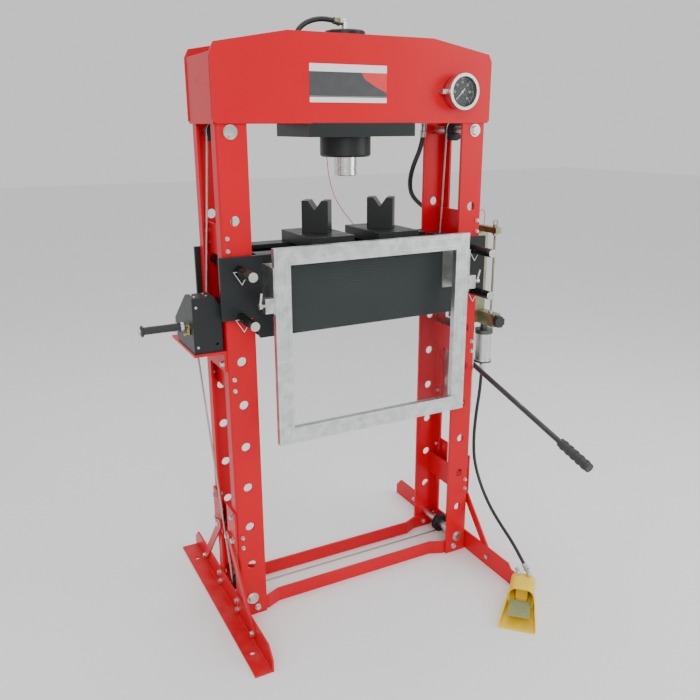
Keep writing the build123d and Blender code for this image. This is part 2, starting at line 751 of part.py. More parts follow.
slope_rise = winch_corner_high / winch_corner_in
slope_wall = winch_plate_wall * sqrt(1 + slope_rise**2)
roof_end_x = winch_inner_x - winch_corner_in
corner_low = winch_top - winch_corner_high
with BuildPart() as winch_housing:
    for x, top in ((winch_outer_x, winch_top), (winch_inner_x - winch_plate_wall, corner_low)):
        lean_y = winch_roof_back + (winch_top - top) * (winch_widest_y - winch_roof_back) / (winch_top - 1000.0)
        with BuildSketch(side_plane(x)):
            with BuildLine():
                Polyline(
                    (winch_front_y, shelf_top), (winch_foot_y, shelf_top), (winch_widest_y + 4.0, 962.0),
                    (winch_widest_y, 1000.0), (lean_y, top), (winch_front_y, top), close=True,
                )
            make_face()
        extrude(amount=winch_plate_wall)
    with BuildSketch(front_plane(winch_front_y)):
        with BuildLine():
            Polyline(
                (winch_outer_x, shelf_top), (winch_outer_x, winch_top), (roof_end_x, winch_top),
                (winch_inner_x, corner_low), (winch_inner_x, shelf_top), close=True,
            )
        make_face()
    extrude(amount=-winch_plate_wall)
    with BuildSketch(front_plane(winch_front_y)):
        with BuildLine():
            Polyline(
                (roof_end_x, winch_top), (winch_inner_x, corner_low), (winch_inner_x, corner_low - slope_wall),
                (roof_end_x, winch_top - slope_wall), close=True,
            )
        make_face()
    extrude(amount=winch_front_y - winch_roof_back)
    block((winch_outer_x, roof_end_x), (winch_front_y, winch_roof_back), (winch_top - winch_plate_wall, winch_top))
    hole((winch_inner_x - 16.0, winch_front_y, shelf_top + 24.0), (0, 1, 0), 5.0, 4 * winch_plate_wall)
    hole(((winch_outer_x + winch_inner_x) / 2, drum_y, drum_z), (1, 0, 0), drum_shaft_radius + running_fit,
         2 * (winch_inner_x - winch_outer_x))
save(winch_housing, "winch_housing")

drum_start = winch_outer_x + winch_plate_wall + 1.0
drum_end = winch_inner_x - winch_plate_wall - 1.0
with BuildPart() as winch_drum:
    rod((drum_start, drum_y, drum_z), (1, 0, 0), drum_radius, drum_end - drum_start)
    for x in (drum_start, drum_end - drum_flange_wall):
        rod((x, drum_y, drum_z), (1, 0, 0), drum_flange_radius, drum_flange_wall)
    turns = 11
    for k in range(turns):
        x = drum_start + drum_flange_wall + (k + 0.5) * (drum_end - drum_start - 2 * drum_flange_wall) / turns
        with BuildSketch(side_plane(x - 0.8)):
            with Locations((drum_y, drum_z)):
                Circle(drum_radius + 1.0)
                Circle(drum_radius - 1.0, mode=Mode.SUBTRACT)
        extrude(amount=1.6, mode=Mode.SUBTRACT)
save(winch_drum, "winch_drum")

crank_x = winch_outer_x - 24.0
crank_tip = (crank_reach_y + drum_y, drum_z + crank_reach_z)
crank_span = sqrt(crank_reach_y**2 + crank_reach_z**2)
with BuildPart() as winch_crank:
    rod((drum_start, drum_y, drum_z), (-1, 0, 0), drum_shaft_radius, drum_start - crank_x + crank_wall + 6.0)
    rod((drum_end, drum_y, drum_z), (1, 0, 0), drum_shaft_radius, winch_inner_x - drum_end + 3.0)
    with BuildSketch(side_plane(crank_x - crank_wall)):
        with Locations(((drum_y + crank_tip[0]) / 2, (drum_z + crank_tip[1]) / 2)):
            SlotCenterToCenter(crank_span, 26.0, rotation=degrees(atan2(crank_reach_z, crank_reach_y)))
    extrude(amount=crank_wall)
    rod((crank_x, drum_y, drum_z), (1, 0, 0), 15.0, 16.0)
    rod((crank_x - crank_wall, crank_tip[0], crank_tip[1]), (-1, 0, 0), grip_pin_radius, grip_length + 8.0)
    rod((crank_x - crank_wall - grip_length - 4.0, crank_tip[0], crank_tip[1]), (-1, 0, 0), 8.0, 4.0)
save(winch_crank, "winch_crank")

with BuildPart() as crank_grip:
    grip_start = crank_x - crank_wall - 2.0
    rod((grip_start, crank_tip[0], crank_tip[1]), (-1, 0, 0), grip_radius, grip_length)
    for x in (grip_start, grip_start - grip_length + 5.0):
        rod((x, crank_tip[0], crank_tip[1]), (-1, 0, 0), grip_radius + 5.0, 5.0)
    hole((grip_start - grip_length / 2, crank_tip[0], crank_tip[1]), (1, 0, 0),
         grip_pin_radius + running_fit, 2 * grip_length)
save(crank_grip, "crank_grip")

# ---------------------------------------------------------------- air and hand pump
pump_wall_x = post_outer + pump_plate_wall
with BuildPart() as pump_plate:
    for low, high in ((pump_plate_low, pump_plate_high), (strap_z - strap_half, strap_z + strap_half)):
        block((post_outer, pump_wall_x), (-pump_plate_half, pump_plate_half), (low, high))
    for y, z in pump_bolts:
        hole((post_outer + pump_plate_wall / 2, y, z), (1, 0, 0), bolt_hole, 2 * pump_plate_wall)
    rod((pump_wall_x, handle_pivot_y, handle_pivot_z), (1, 0, 0), handle_pin_radius, 28.0)
    rod((pump_wall_x + 25.0, handle_pivot_y, handle_pivot_z), (1, 0, 0), handle_pin_radius + 4.0, 4.0)
save(pump_plate, "pump_plate")

with BuildPart() as pump_tank:
    block((pump_wall_x, tank_out), (-tank_half_depth, tank_half_depth), (block_high, tank_high))
    fillet(pump_tank.edges().filter_by(Axis.Z), radius=6.0)
save(pump_tank, "pump_tank")

with BuildPart() as pump_block:
    block((pump_wall_x, pump_x - block_half_width), (-60.0, tank_half_depth), (block_low, block_high))
    block((pump_x - block_half_width, pump_x + block_half_width), (block_front, tank_half_depth),
          (block_low, block_high))
    hole((pump_x, block_front, knob_z), (0, 1, 0), 5.0 + running_fit, 50.0)

with BuildPart() as pump_arm:
    block((pump_x - arm_half_width, pump_x + arm_half_width), (arm_front, 20.0), (tank_high, tank_high + arm_height))
    rod((pump_x, rod_y, tank_high), (0, 0, -1), rod_radius, tank_high - block_high)
    rod((pump_x, rod_y, tank_high + arm_height), (0, 0, 1), 9.0, 8.0)
    with Locations(Plane(origin=(pump_x, rod_y, tank_high + arm_height + 16.0), z_dir=(0, 1, 0))):
        Torus(8.5, 2.5)
save_group([pump_block, pump_arm], "pump_block")

with BuildPart() as air_motor:
    rod((pump_x, motor_y, block_low), (0, 0, -1), 13.0, block_low - motor_high)
    rod((pump_x, motor_y, motor_low), (0, 0, 1), motor_radius, motor_high - motor_low)
    for z in (motor_low, motor_high - 14.0):
        rod((pump_x, motor_y, z), (0, 0, 1), motor_flange, 14.0 if z > motor_low else 8.0)
    with Locations(*[(pump_x + 24.0 * cos(radians(45 + 90 * k)), motor_y + 24.0 * sin(radians(45 + 90 * k)),
                      motor_low - 3.0) for k in range(4)]):
        Cylinder(4.0, 6.0)
save(air_motor, "air_motor")

with BuildPart() as release_knob:
    rod((pump_x, block_front + 20.0, knob_z), (0, -1, 0), 5.0, 26.0)
    with BuildSketch(front_plane(block_front - 3.0)):
        with Locations((pump_x, knob_z)):
            Circle(knob_radius)
        with Locations((pump_x, knob_z)):
            with PolarLocations(knob_radius + 2.0, 8):
                Circle(4.5, mode=Mode.SUBTRACT)
    extrude(amount=16.0)
save(release_knob, "release_knob")

handle_dir = Vector(0, -cos(radians(handle_drop)), -sin(radians(handle_drop)))
handle_pivot = Vector(handle_x, handle_pivot_y, handle_pivot_z)
with BuildPart() as pump_handle:
    rod((handle_x - 8.0, handle_pivot_y, handle_pivot_z), (1, 0, 0), handle_hub_radius, 16.0)
    rod(handle_pivot, handle_dir, handle_radius, handle_length)
    hole(handle_pivot, (1, 0, 0), handle_pin_radius + running_fit, 60.0)

with BuildPart() as handle_grip:
    grip_from = handle_pivot + handle_dir * (handle_length - handle_grip_length)
    rod(grip_from, handle_dir, handle_grip_radius, handle_grip_length + 3.0)
    for k in range(5):
        rod(grip_from + handle_dir * (14.0 + 24.0 * k), handle_dir, handle_grip_radius + 2.0, 8.0)
    rod(grip_from, handle_dir, handle_radius, handle_grip_length, Mode.SUBTRACT)
save_group([pump_handle, handle_grip], "pump_handle")

# ---------------------------------------------------------------- pressure gauge and label
gauge_back = -beam_face - gauge_stand
gauge_front = gauge_back - gauge_depth
with BuildPart() as gauge_case:
    rod((gauge_x, gauge_back, gauge_z), (0, -1, 0), gauge_radius, gauge_depth)
    rod((gauge_x, gauge_back, gauge_z), (0, 1, 0), 22.0, gauge_stand)
    rod((gauge_x - gauge_radius + 4.0, gauge_back - gauge_depth / 2, gauge_z), (-1, 0, 0), 8.0, 26.0)
    rod((gauge_x - gauge_radius - 14.0, gauge_back - gauge_depth / 2, gauge_z), (0, 1, 0), 8.0,
        gauge_stand + gauge_depth / 2)
    rod((gauge_x, gauge_front - 1.0, gauge_z), (0, 1, 0), gauge_radius - 3.0, 13.0, Mode.SUBTRACT)

with BuildPart() as gauge_bezel:
    rod((gauge_x, gauge_front + 6.0, gauge_z), (0, -1, 0), gauge_bezel_radius, 11.0)
    rod((gauge_x, gauge_front + 6.0, gauge_z), (0, -1, 0), gauge_radius, 6.0, Mode.SUBTRACT)
    rod((gauge_x, gauge_front + 1.0, gauge_z), (0, -1, 0), gauge_radius - 5.0, 11.0, Mode.SUBTRACT)
save_group([gauge_case, gauge_bezel], "gauge_case")

with BuildPart() as gauge_dial:
    rod((gauge_x, gauge_front + 12.0, gauge_z), (0, -1, 0), gauge_radius - 3.5, 1.5)
    hole((gauge_x, gauge_front + 11.0, gauge_z), (0, 1, 0), 1.5 + running_fit, 10.0)
save(gauge_dial, "gauge_dial")

with BuildPart() as gauge_pointer:
    rod((gauge_x, gauge_front + 11.5, gauge_z), (0, -1, 0), 1.5, 5.0)
    with BuildSketch(Plane(origin=(gauge_x, gauge_front + 9.0, gauge_z), z_dir=(0, -1, 0),
                           x_dir=(cos(radians(pointer_rest)), 0, sin(radians(pointer_rest))))):
        with BuildLine():
            Polyline((-12.0, -2.0), (-12.0, 2.0), (pointer_length, 0.5), (pointer_length, -0.5), close=True)
        make_face()
        Circle(4.0)
    extrude(amount=1.2)
save(gauge_pointer, "gauge_pointer")

with BuildPart() as gauge_lens:
    rod((gauge_x, gauge_front + 1.5, gauge_z), (0, -1, 0), gauge_radius - 3.5, 1.5)
save(gauge_lens, "gauge_lens")

label_wall = 1.0
with BuildPart() as label_plate:
    block((-176.0, 76.0), (-beam_face - label_wall, -beam_face), (1634.0, 1738.0))
save(label_plate, "label_plate")

# ---------------------------------------------------------------- foot pedal
pedal_plane = Plane(origin=(pedal_x, pedal_y, 0), x_dir=(cos(radians(pedal_turn)), sin(radians(pedal_turn)), 0),
                    z_dir=(0, 0, 1))


def on_pedal(along, across, up):
    """A point given from the pedal's middle: towards the toe, sideways and up."""
    return pedal_plane.from_local_coords(Vector(along, across, up))


pedal_back = -pedal_length / 2
cover_front = pedal_back + pedal_cover_length
with BuildPart() as pedal_base:
    with BuildSketch(pedal_plane):
        with BuildLine():
            Polyline(
                (pedal_back, -pedal_cover_width / 2), (cover_front, -pedal_cover_width / 2),
                (-pedal_back, -pedal_width / 2), (-pedal_back, pedal_width / 2),
                (cover_front, pedal_cover_width / 2), (pedal_back, pedal_cover_width / 2), close=True,
            )
        make_face()
    extrude(amount=pedal_base_wall)
    with BuildSketch(pedal_plane.offset(pedal_base_wall)):
        with Locations((pedal_back + 38.0, 0)):
            Rectangle(44.0, 40.0)
    extrude(amount=34.0)
    for side in (-1, 1):
        with BuildSketch(pedal_plane.offset(pedal_base_wall)):
            with Locations((cover_front + 8.0, side * (treadle_width / 2 + 3.0))):
                Rectangle(14.0, 4.0)
        extrude(amount=22.0)
    axle_from = on_pedal(cover_front + 8.0, -treadle_width / 2 - 5.0, pedal_base_wall + 15.0)
    axle_to = on_pedal(cover_front + 8.0, treadle_width / 2 + 5.0, pedal_base_wall + 15.0)
    rod(axle_from, axle_to - axle_from, 2.5, (axle_to - axle_from).length)
save(pedal_base, "pedal_base")

with BuildPart() as pedal_cover:
    for shrink, start, mode in ((0.0, 0.0, Mode.ADD), (pedal_wall, pedal_wall, Mode.SUBTRACT)):
        arch_origin = on_pedal(pedal_back + start, 0, pedal_base_wall)
        arch_side = on_pedal(pedal_back + start, 1, pedal_base_wall) - arch_origin
        with BuildSketch(Plane(origin=arch_origin, x_dir=arch_side, z_dir=pedal_plane.x_dir)) as arch:
            width = pedal_cover_width - 2 * shrink
            height = pedal_cover_height - pedal_base_wall - shrink
            with BuildLine():
                Polyline((-width / 2, 0), (-width / 2, height), (width / 2, height), (width / 2, 0), close=True)
            make_face()
            fillet(arch.vertices().group_by(Axis.Z)[-1], radius=24.0 - shrink)
        extrude(amount=pedal_cover_length, mode=mode)
    for side in (-1, 1):
        near = on_pedal(cover_front, side * (pedal_cover_width / 2), pedal_base_wall)
        far = on_pedal(-pedal_back, side * (pedal_width / 2), pedal_base_wall)
        run = far - near
        with BuildSketch(Plane(origin=near, x_dir=run, z_dir=run.cross(Vector(0, 0, 1)))):
            with BuildLine():
                Polyline((0, 0), (run.length, 0), (run.length, 12.0), (run.length * 0.45, 34.0), (0, 40.0),
                         close=True)
            make_face()
        extrude(amount=-side * pedal_wall)
save(pedal_cover, "pedal_cover")

treadle_pivot_u = cover_front + 8.0
treadle_pivot_z = pedal_base_wall + 15.0
with BuildPart() as pedal_treadle:
    hub_from = on_pedal(treadle_pivot_u, -treadle_width / 2 + 0.5, treadle_pivot_z)
    hub_to = on_pedal(treadle_pivot_u, treadle_width / 2 - 0.5, treadle_pivot_z)
    rod(hub_from, hub_to - hub_from, 5.5, (hub_to - hub_from).length)
    tread_start = on_pedal(treadle_pivot_u, 0, treadle_pivot_z + 3.0)
    tread_dir = on_pedal(treadle_pivot_u + cos(radians(treadle_tilt)), 0,
                         treadle_pivot_z + 3.0 + sin(radians(treadle_tilt))) - tread_start
    tread_side = on_pedal(treadle_pivot_u, 1, treadle_pivot_z + 3.0) - tread_start
    tread_plane = Plane(origin=tread_start, x_dir=tread_dir, z_dir=tread_dir.cross(tread_side))
    with BuildSketch(tread_plane):
        with Locations((treadle_length / 2, 0)):
            RectangleRounded(treadle_length, treadle_width - 4.0, 6.0)
    extrude(amount=treadle_wall)
    with BuildSketch(tread_plane.offset(treadle_wall)):
        with Locations((treadle_length / 2 + 12.0, 0)):
            with GridLocations(14.0, 20.0, 6, 1):
                Rectangle(4.0, treadle_width - 20.0)
    extrude(amount=1.2)
    hole((hub_from + hub_to) / 2, hub_to - hub_from, 2.5 + running_fit, 2 * treadle_width)
save(pedal_treadle, "pedal_treadle")

# ---------------------------------------------------------------- hose ends
hose_tab_x = -165.0
hose_tab_z = 1775.0
ram_hose_start = Vector(gauge_x, 60, beam_bottom - 24.0)
ram_hose_end = Vector(post_outer + 50.0, tank_half_depth + 22.0, 1172)
air_hose_start = Vector(pump_x, motor_y, motor_low - 24.0)
air_hose_end = on_pedal(pedal_back + 12.0, 18.0, pedal_cover_height + 8.0) + Vector(2.4, 14.5, 9.6)
top_hose_end = Vector(-18, 0, cylinder_top + cap_height + 24.0)
with BuildPart() as hose_fittings:
    block((gauge_x - 15.0, gauge_x + 15.0), (45.0, frame_half_depth), (beam_bottom, beam_bottom + 8.0))
    rod((ram_hose_start.X, ram_hose_start.Y, beam_bottom), (0, 0, -1), fitting_radius, 24.0)
    rod((ram_hose_end.X, tank_half_depth, ram_hose_end.Z), (0, 1, 0), fitting_radius, 22.0)
    rod((pump_x, motor_y, motor_low), (0, 0, -1), fitting_radius, 24.0)
    block((hose_tab_x - 10.0, hose_tab_x + 10.0), (-frame_half_depth, frame_half_depth),
          (hose_tab_z - 10.0, hose_tab_z))
    rod((hose_tab_x, 0, hose_tab_z), (0, 0, 1), fitting_radius, 22.0)
    rod((0, 0, cylinder_top + cap_height), (0, 0, 1), fitting_radius, 24.0)
    with Locations((0, 0, top_hose_end.Z)):
        Sphere(fitting_radius)
    rod((0, 0, top_hose_end.Z), (-1, 0, 0), fitting_radius - 1.5, -top_hose_end.X)
    for across in (-18.0, 18.0):
        foot_point = on_pedal(pedal_back + 12.0, across, pedal_cover_height)
        rod(foot_point, (0, 0, 1), 8.0, 8.0)
        turn_point = foot_point + Vector(0, 0, 8.0)
        with Locations(turn_point):
            Sphere(8.0)
        rod(turn_point, (2.4, 14.5, 9.6), 7.0, Vector(2.4, 14.5, 9.6).length)
save(hose_fittings, "hose_fittings")


# ---------------------------------------------------------------- hoses, strings and lift cables
def tube(points, radius, name, shortest=3.0):
    """A round tube along straight runs joined by tangent arcs as large as the runs allow."""
    route = [Vector(*p) for p in points]
    radii = []
    for before, at, after in zip(route, route[1:], route[2:]):
        turn = radians((at - before).get_angle(after - at))
        run = min((at - before).length, (after - at).length)
        radii.append(0.45 * run / tan(turn / 2))
    with BuildPart() as hose:
        with BuildLine():
            path = FilletPolyline(*route, radius=radii)
        with BuildSketch(Plane(origin=path @ 0, z_dir=path % 0)):
            Circle(radius)
        sweep()
    length = path.length
    exact = pi * radius**2 * length
    print(name, "length %.0f" % length, "volume ratio %.4f" % (hose.part.volume / exact),
          "smallest radius %.0f = %.1f diameters" % (min(radii), min(radii) / 2 / radius))
    save(hose, name)


air_hose_way = [(-1, -79, 640), (-10, -74, 545), (-16, -73, 440), (-17, -84, 350), (-16, -128, 268),
                (-18, -195, 205), (-21, -268, 165), (-26, -340, 135), (-33, -398, 104)]
tube([air_hose_start] + [(pump_x + x, y, z) for x, y, z in air_hose_way] + [air_hose_end],
     air_hose_radius, "air_hose")
ram_hose_way = [(-6, 63, 1500), (-26, 80, 1440), (-25, 104, 1386), (0, 134, 1338), (46, 160, 1303),
                (101, 177, 1272), (151, 172, 1230), (173, 134, 1190)]
tube([ram_hose_start] + [(gauge_x + x, y, z) for x, y, z in ram_hose_way] + [ram_hose_end],
     ram_hose_radius, "ram_hose")
tube([(hose_tab_x, 0, hose_tab_z + 22.0), (-162, 0, 1828), (-136, 0, 1856), (-94, 0, 1871), (-52, 0, 1872),
      top_hose_end], top_hose_radius, "top_hose")
tube([(-42, 48, cylinder_bottom - 0.3), (-36, 53, 1430), (-22, 62, 1385), (-2, 70, 1340), (27, 79, 1302),
      (58, 88, 1270), (80, 96, plate_top + string_radius + 0.8)], string_radius, "tie_string")
tag_string_way = [(2, -51, 1256), (0, -54, 1275), (-10, -60, 1288), (-25, -67, 1292), (-41, -73, 1286),
                  (-53, -77, 1274)]
tube([(pump_x, -50, tank_high + arm_height)] + [(pump_x + x, y, z) for x, y, z in tag_string_way]
     + [(post_outer + string_radius + 0.2, -80, 1256)], string_radius, "tag_string")


def tangent_meet(start, centre, side, level):
    """Where the line from start that touches the cable's circle round a pulley meets a level."""
    dx = centre[0] - start[0]
    dz = centre[1] - start[1]
    far = sqrt(dx**2 + dz**2)
    lean = atan2(dx, dz) + side * atan2(cable_reach, sqrt(far**2 - cable_reach**2))
    return start[0] + (level - start[1]) * tan(lean)


high_level = axle_high_z + cable_reach
low_level = axle_low_z - cable_reach
left_in_x = -axle_x + cable_reach
bar_low = bed_top - cable_bar_low
upper_corner = tangent_meet((upper_cable_drum[0], drum_z), (-axle_x, axle_high_z), -1, high_level)
lower_corner = tangent_meet((lower_cable_drum[0], drum_z), (-axle_x, axle_low_z), 1, low_level)
bed_corner = tangent_meet((right_cable_x, bar_low), (axle_x, axle_high_z), -1, high_level)
cable_routes = {
    "lift_cable_left": [(left_in_x, 0, bar_low - 8.0), (left_in_x, 0, high_level), (upper_corner, 0, high_level),
                        upper_cable_drum],
    "lift_cable_right": [lower_cable_drum, (lower_corner, 0, low_level), (axle_x + cable_reach, 0, low_level),
                         (axle_x + cable_reach, 0, high_level), (bed_corner, 0, high_level),
                         (right_cable_x, 0, bar_low - 8.0)],
}
for name, points in cable_routes.items():
    with BuildPart() as cable:
        with BuildLine():
            path = FilletPolyline(*points, radius=wrap_radius - 2.0)
        with BuildSketch(Plane(origin=path @ 0, z_dir=path % 0)):
            Circle(cable_radius)
        sweep()
        bed_end = points[0] if name == "lift_cable_left" else points[-1]
        rod((bed_end[0], 0, bar_low - rest_gap), (0, 0, -1), ferrule_radius, ferrule_length)
    save(cable, name)
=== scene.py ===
"""Finishes, hoses and fittings for a floor-standing hydraulic shop press.

Metres, +X to the pump side, +Y to the back, +Z up, the origin on the floor between the anchor holes.
"""
from math import cos, pi, radians, sin

import bpy
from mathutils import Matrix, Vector


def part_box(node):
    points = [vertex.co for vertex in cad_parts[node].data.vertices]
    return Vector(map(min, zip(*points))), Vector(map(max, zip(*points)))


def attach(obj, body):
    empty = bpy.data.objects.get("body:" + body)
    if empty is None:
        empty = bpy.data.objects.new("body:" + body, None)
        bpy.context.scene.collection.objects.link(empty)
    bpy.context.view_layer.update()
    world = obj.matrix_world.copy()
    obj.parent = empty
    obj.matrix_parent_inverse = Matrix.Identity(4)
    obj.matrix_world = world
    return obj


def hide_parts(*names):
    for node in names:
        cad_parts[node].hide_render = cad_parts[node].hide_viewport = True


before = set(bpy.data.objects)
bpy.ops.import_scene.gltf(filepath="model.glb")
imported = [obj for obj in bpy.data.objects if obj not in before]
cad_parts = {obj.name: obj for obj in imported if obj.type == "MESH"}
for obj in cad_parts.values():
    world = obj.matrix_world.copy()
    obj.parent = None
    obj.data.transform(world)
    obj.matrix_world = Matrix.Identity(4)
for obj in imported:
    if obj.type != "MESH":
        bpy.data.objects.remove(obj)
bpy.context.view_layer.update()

bl_info = {
    "name": "Hydraulic Shop Press",
    "version": (1, 0, 0),
    "blender": (4, 5, 0),
    "location": "View3D > Sidebar > Press",
    "description": "Finishes, hoses and fittings for a floor-standing hydraulic shop press",
    "category": "Object",
}

MM = 0.001
FRONT = Vector((0, -1, 0))
UP = Vector((0, 0, 1))

CAMERA_PLACE = (-1.0956, -2.1198, 1.569)
CAMERA_TURN = (90 - 17.02, 0.19, -27.69)    # degrees
CAMERA_LENS = 37.65
CAMERA_SENSOR = 36.0
SKY_STRENGTH = 0.85
# name, place, watts, side
LAMPS = (
    ("key", (-1.6, -3.6, 2.9), 95.0, 2.6),
    ("fill", (2.8, -2.2, 2.0), 45.0, 2.2),
    ("top", (0.3, 0.6, 3.6), 40.0, 2.4),
)

GAUGE_START = 225    # degrees from the dial's right-hand side to its zero mark
GAUGE_SWEEP = 270
GAUGE_MARKS = 60
GAUGE_NUMBERS = 6

# turned profiles: radius, height
SCREW_HEAD = ((0.0045, 0), (0.0045, 0.0012), (0.0035, 0.0022), (0.0012, 0.0024))
CRANK_NUT = ((0.0105, 0), (0.0115, 0.001), (0.0115, 0.0075), (0.0095, 0.009), (0.006, 0.009),
             (0.006, 0.012), (0.005, 0.0128))
CRANK_WASHER = ((0.013, 0), (0.0135, 0.0004), (0.0135, 0.0012), (0.013, 0.0016))
LEVER_BOSS = ((0.007, 0), (0.0075, 0.0005), (0.0075, 0.006), (0.006, 0.0075))
LEVER_TIP = ((0.004, 0), (0.0055, 0.001), (0.0055, 0.012), (0.004, 0.014))
ROD_NUT = ((0.0085, 0), (0.0092, 0.0006), (0.0092, 0.0066), (0.0078, 0.0078), (0.0046, 0.0078))
FILLER_PLUG = ((0.012, 0), (0.0125, 0.0006), (0.0125, 0.004), (0.011, 0.005), (0.0075, 0.005),
               (0.0075, 0.009), (0.0062, 0.0105))
MOTOR_RING = ((0.0275, 0), (0.0287, 0.0008), (0.0287, 0.002), (0.0275, 0.0028))


def at(x, y, z):
    """A place given in millimetres."""
    return Vector((x, y, z)) * MM


def middle(node):
    """The middle of a node's box."""
    low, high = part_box(node)
    return (Vector(low) + Vector(high)) / 2


# ---------------------------------------------------------------- shader sums
class Wire:
    """A shader socket that can stand in a sum."""

    def __init__(self, socket):
        self.socket = socket

    def combine(self, operation, first, second):
        maths = self.socket.id_data.nodes.new("ShaderNodeMath")
        maths.operation = operation
        feed(maths.inputs[0], first)
        feed(maths.inputs[1], second)
        return Wire(maths.outputs[0])

    def __add__(self, other):
        return self.combine("ADD", self, other)

    __radd__ = __add__

    def __sub__(self, other):
        return self.combine("SUBTRACT", self, other)

    def __rsub__(self, other):
        return self.combine("SUBTRACT", other, self)

    def __mul__(self, other):
        return self.combine("MULTIPLY", self, other)

    __rmul__ = __mul__


def feed(socket, value):
    """Link a wire to a socket, or set the socket's own value."""
    if isinstance(value, Wire):
        socket.id_data.links.new(value.socket, socket)
    else:
        socket.default_value = value


class Finish:
    """A material built on one Principled shader."""

    def __init__(self, name, uniform):
        self.material = bpy.data.materials.new(name)
        self.material.use_nodes = True
        self.tree = self.material.node_tree
        self.shader = self.tree.nodes["Principled BSDF"]
        for socket, value in uniform.items():
            self.shader.inputs[socket].default_value = value
        self.place = self.node("ShaderNodeTexCoord", out="Object")
        self.axes = None

    def node(self, kind, settings=None, sockets=None, out=0):
        """Add a node: its settings first, then the values or links of its sockets."""
        made = self.tree.nodes.new(kind)
        for key, value in (settings or {}).items():
            setattr(made, key, value)
        for key, value in (sockets or {}).items():
            feed(made.inputs[key], value)
        return Wire(made.outputs[out])

    def axis(self, letter):
        """One coordinate of the piece."""
        if self.axes is None:
            self.axes = self.tree.nodes.new("ShaderNodeSeparateXYZ")
            feed(self.axes.inputs[0], self.place)
        return Wire(self.axes.outputs[letter])

    def noise(self, scale, detail=2.0, stretch=(1, 1, 1)):
        """Cloudy noise, drawn out along an axis where stretch is under 1."""
        drawn = self.node("ShaderNodeMapping", None, {"Vector": self.place, "Scale": stretch})
        return self.node("ShaderNodeTexNoise", None, {"Vector": drawn, "Scale": scale, "Detail": detail},
                         "Fac")

    def rise(self, value, low, high):
        """0 below low, 1 above high, smooth between."""
        return self.node("ShaderNodeMapRange", {"interpolation_type": "SMOOTHSTEP"},
                         {"Value": value, "From Min": low, "From Max": high})

    def between(self, value, low, high, edge):
        """1 where value lies between low and high."""
        return self.rise(value, low - edge, low + edge) * (1 - self.rise(value, high - edge, high + edge))

    def mix(self, mask, first, second):
        """The second colour over the first."""
        return self.node("ShaderNodeMix", {"data_type": "RGBA"}, {0: mask, 6: first, 7: second}, 2)

    def rounded(self, width):
        """The normal with its sharp edges softened."""
        return self.node("ShaderNodeBevel", {"samples": 6}, {"Radius": width}, "Normal")

    def facing(self, direction):
        """How far the surface faces a direction, from -1 to 1."""
        normal = self.node("ShaderNodeNewGeometry", None, None, "Normal")
        return self.node("ShaderNodeVectorMath", {"operation": "DOT_PRODUCT"},
                         {0: normal, 1: direction}, "Value")

    def edges(self, soft_normal):
        """About 0.3 on a square edge, 0 on a flat face."""
        return 1 - self.facing(soft_normal)

    def set(self, **links):
        """Link what changes over the surface."""
        for socket, value in links.items():
            feed(self.shader.inputs[socket.replace("_", " ")], value)

    def relief(self, height, strength, distance, normal=None):
        """Fine relief in the surface."""
        sockets = {"Height": height, "Strength": strength, "Distance": distance}
        if normal is not None:
            sockets["Normal"] = normal
        self.set(Normal=self.node("ShaderNodeBump", None, sockets, "Normal"))


def shade(colour, factor):
    """A colour made darker or lighter."""
    return tuple(min(1.0, part * factor) for part in colour[:3]) + (1.0,)


# ---------------------------------------------------------------- finishes
def enamel(name, colour, under, gloss, chips=0.3):
    """Sprayed enamel: orange peel, drifting shade, dust on top, and rubbed edges that show the coat under."""
    f = Finish(name, {"Specular IOR Level": 0.22})
    soft = f.rounded(0.0016)
    drift = f.noise(3.0, 3.0)
    rub = f.noise(70.0, 6.0)
    peel = f.noise(520.0, 1.0)
    dust = f.rise(f.facing(UP), 0.6, 0.95) * f.rise(f.noise(18.0, 5.0), 0.35, 0.75)
    worn = f.rise(f.edges(soft) + (rub - 0.5) * chips, 0.27, 0.33)
    scuff = f.rise(f.noise(26.0, 8.0, (1, 1, 0.35)), 0.66, 0.76)
    body = f.mix(drift, shade(colour, 0.86), shade(colour, 1.12))
    body = f.mix(scuff * 0.16, body, shade(colour, 1.5))
    body = f.mix(dust * 0.1, body, (0.42, 0.36, 0.32, 1.0))
    body = f.mix(worn, body, under)
    f.set(Base_Color=body, Roughness=gloss + (rub - 0.5) * 0.12 + dust * 0.22 + scuff * 0.14 + worn * 0.15,
          Metallic=worn * 0.6)
    f.relief(peel + worn * -2.0, 0.12, 0.0002, soft)
    return f.material


def plated(name, colour, tint, gloss, stretch=(1, 1, 1)):
    """Plated or bare metal: patchy plating, fine scratches, darker dirt in scattered patches."""
    f = Finish(name, {"Metallic": 1.0})
    soft = f.rounded(0.0008)
    patch = f.noise(28.0, 5.0)
    lines = f.noise(900.0, 3.0, stretch)
    dirt = f.rise(f.noise(55.0, 7.0), 0.58, 0.78)
    body = f.mix(f.rise(patch, 0.35, 0.65), colour, tint)
    body = f.mix(dirt * 0.45, body, shade(colour, 0.35))
    f.set(Base_Color=body, Roughness=gloss + (patch - 0.5) * 0.2 + (lines - 0.5) * 0.18 + dirt * 0.2)
    f.relief(lines, 0.1, 0.0001, soft)
    return f.material


def moulded(name, colour, gloss, grain=600.0):
    """Moulded plastic or rubber with a fine grain and pale scuffs."""
    f = Finish(name, {"Specular IOR Level": 0.45})
    soft = f.rounded(0.001)
    drift = f.noise(12.0, 3.0)
    texture = f.noise(grain, 2.0)
    scuff = f.rise(f.noise(60.0, 8.0), 0.62, 0.74)
    body = f.mix(drift, shade(colour, 0.85), shade(colour, 1.15))
    body = f.mix(scuff * 0.25, body, shade(colour, 2.2))
    f.set(Base_Color=body, Roughness=gloss + (drift - 0.5) * 0.15 + scuff * 0.1)
    f.relief(texture, 0.2, 0.0002, soft)
    return f.material


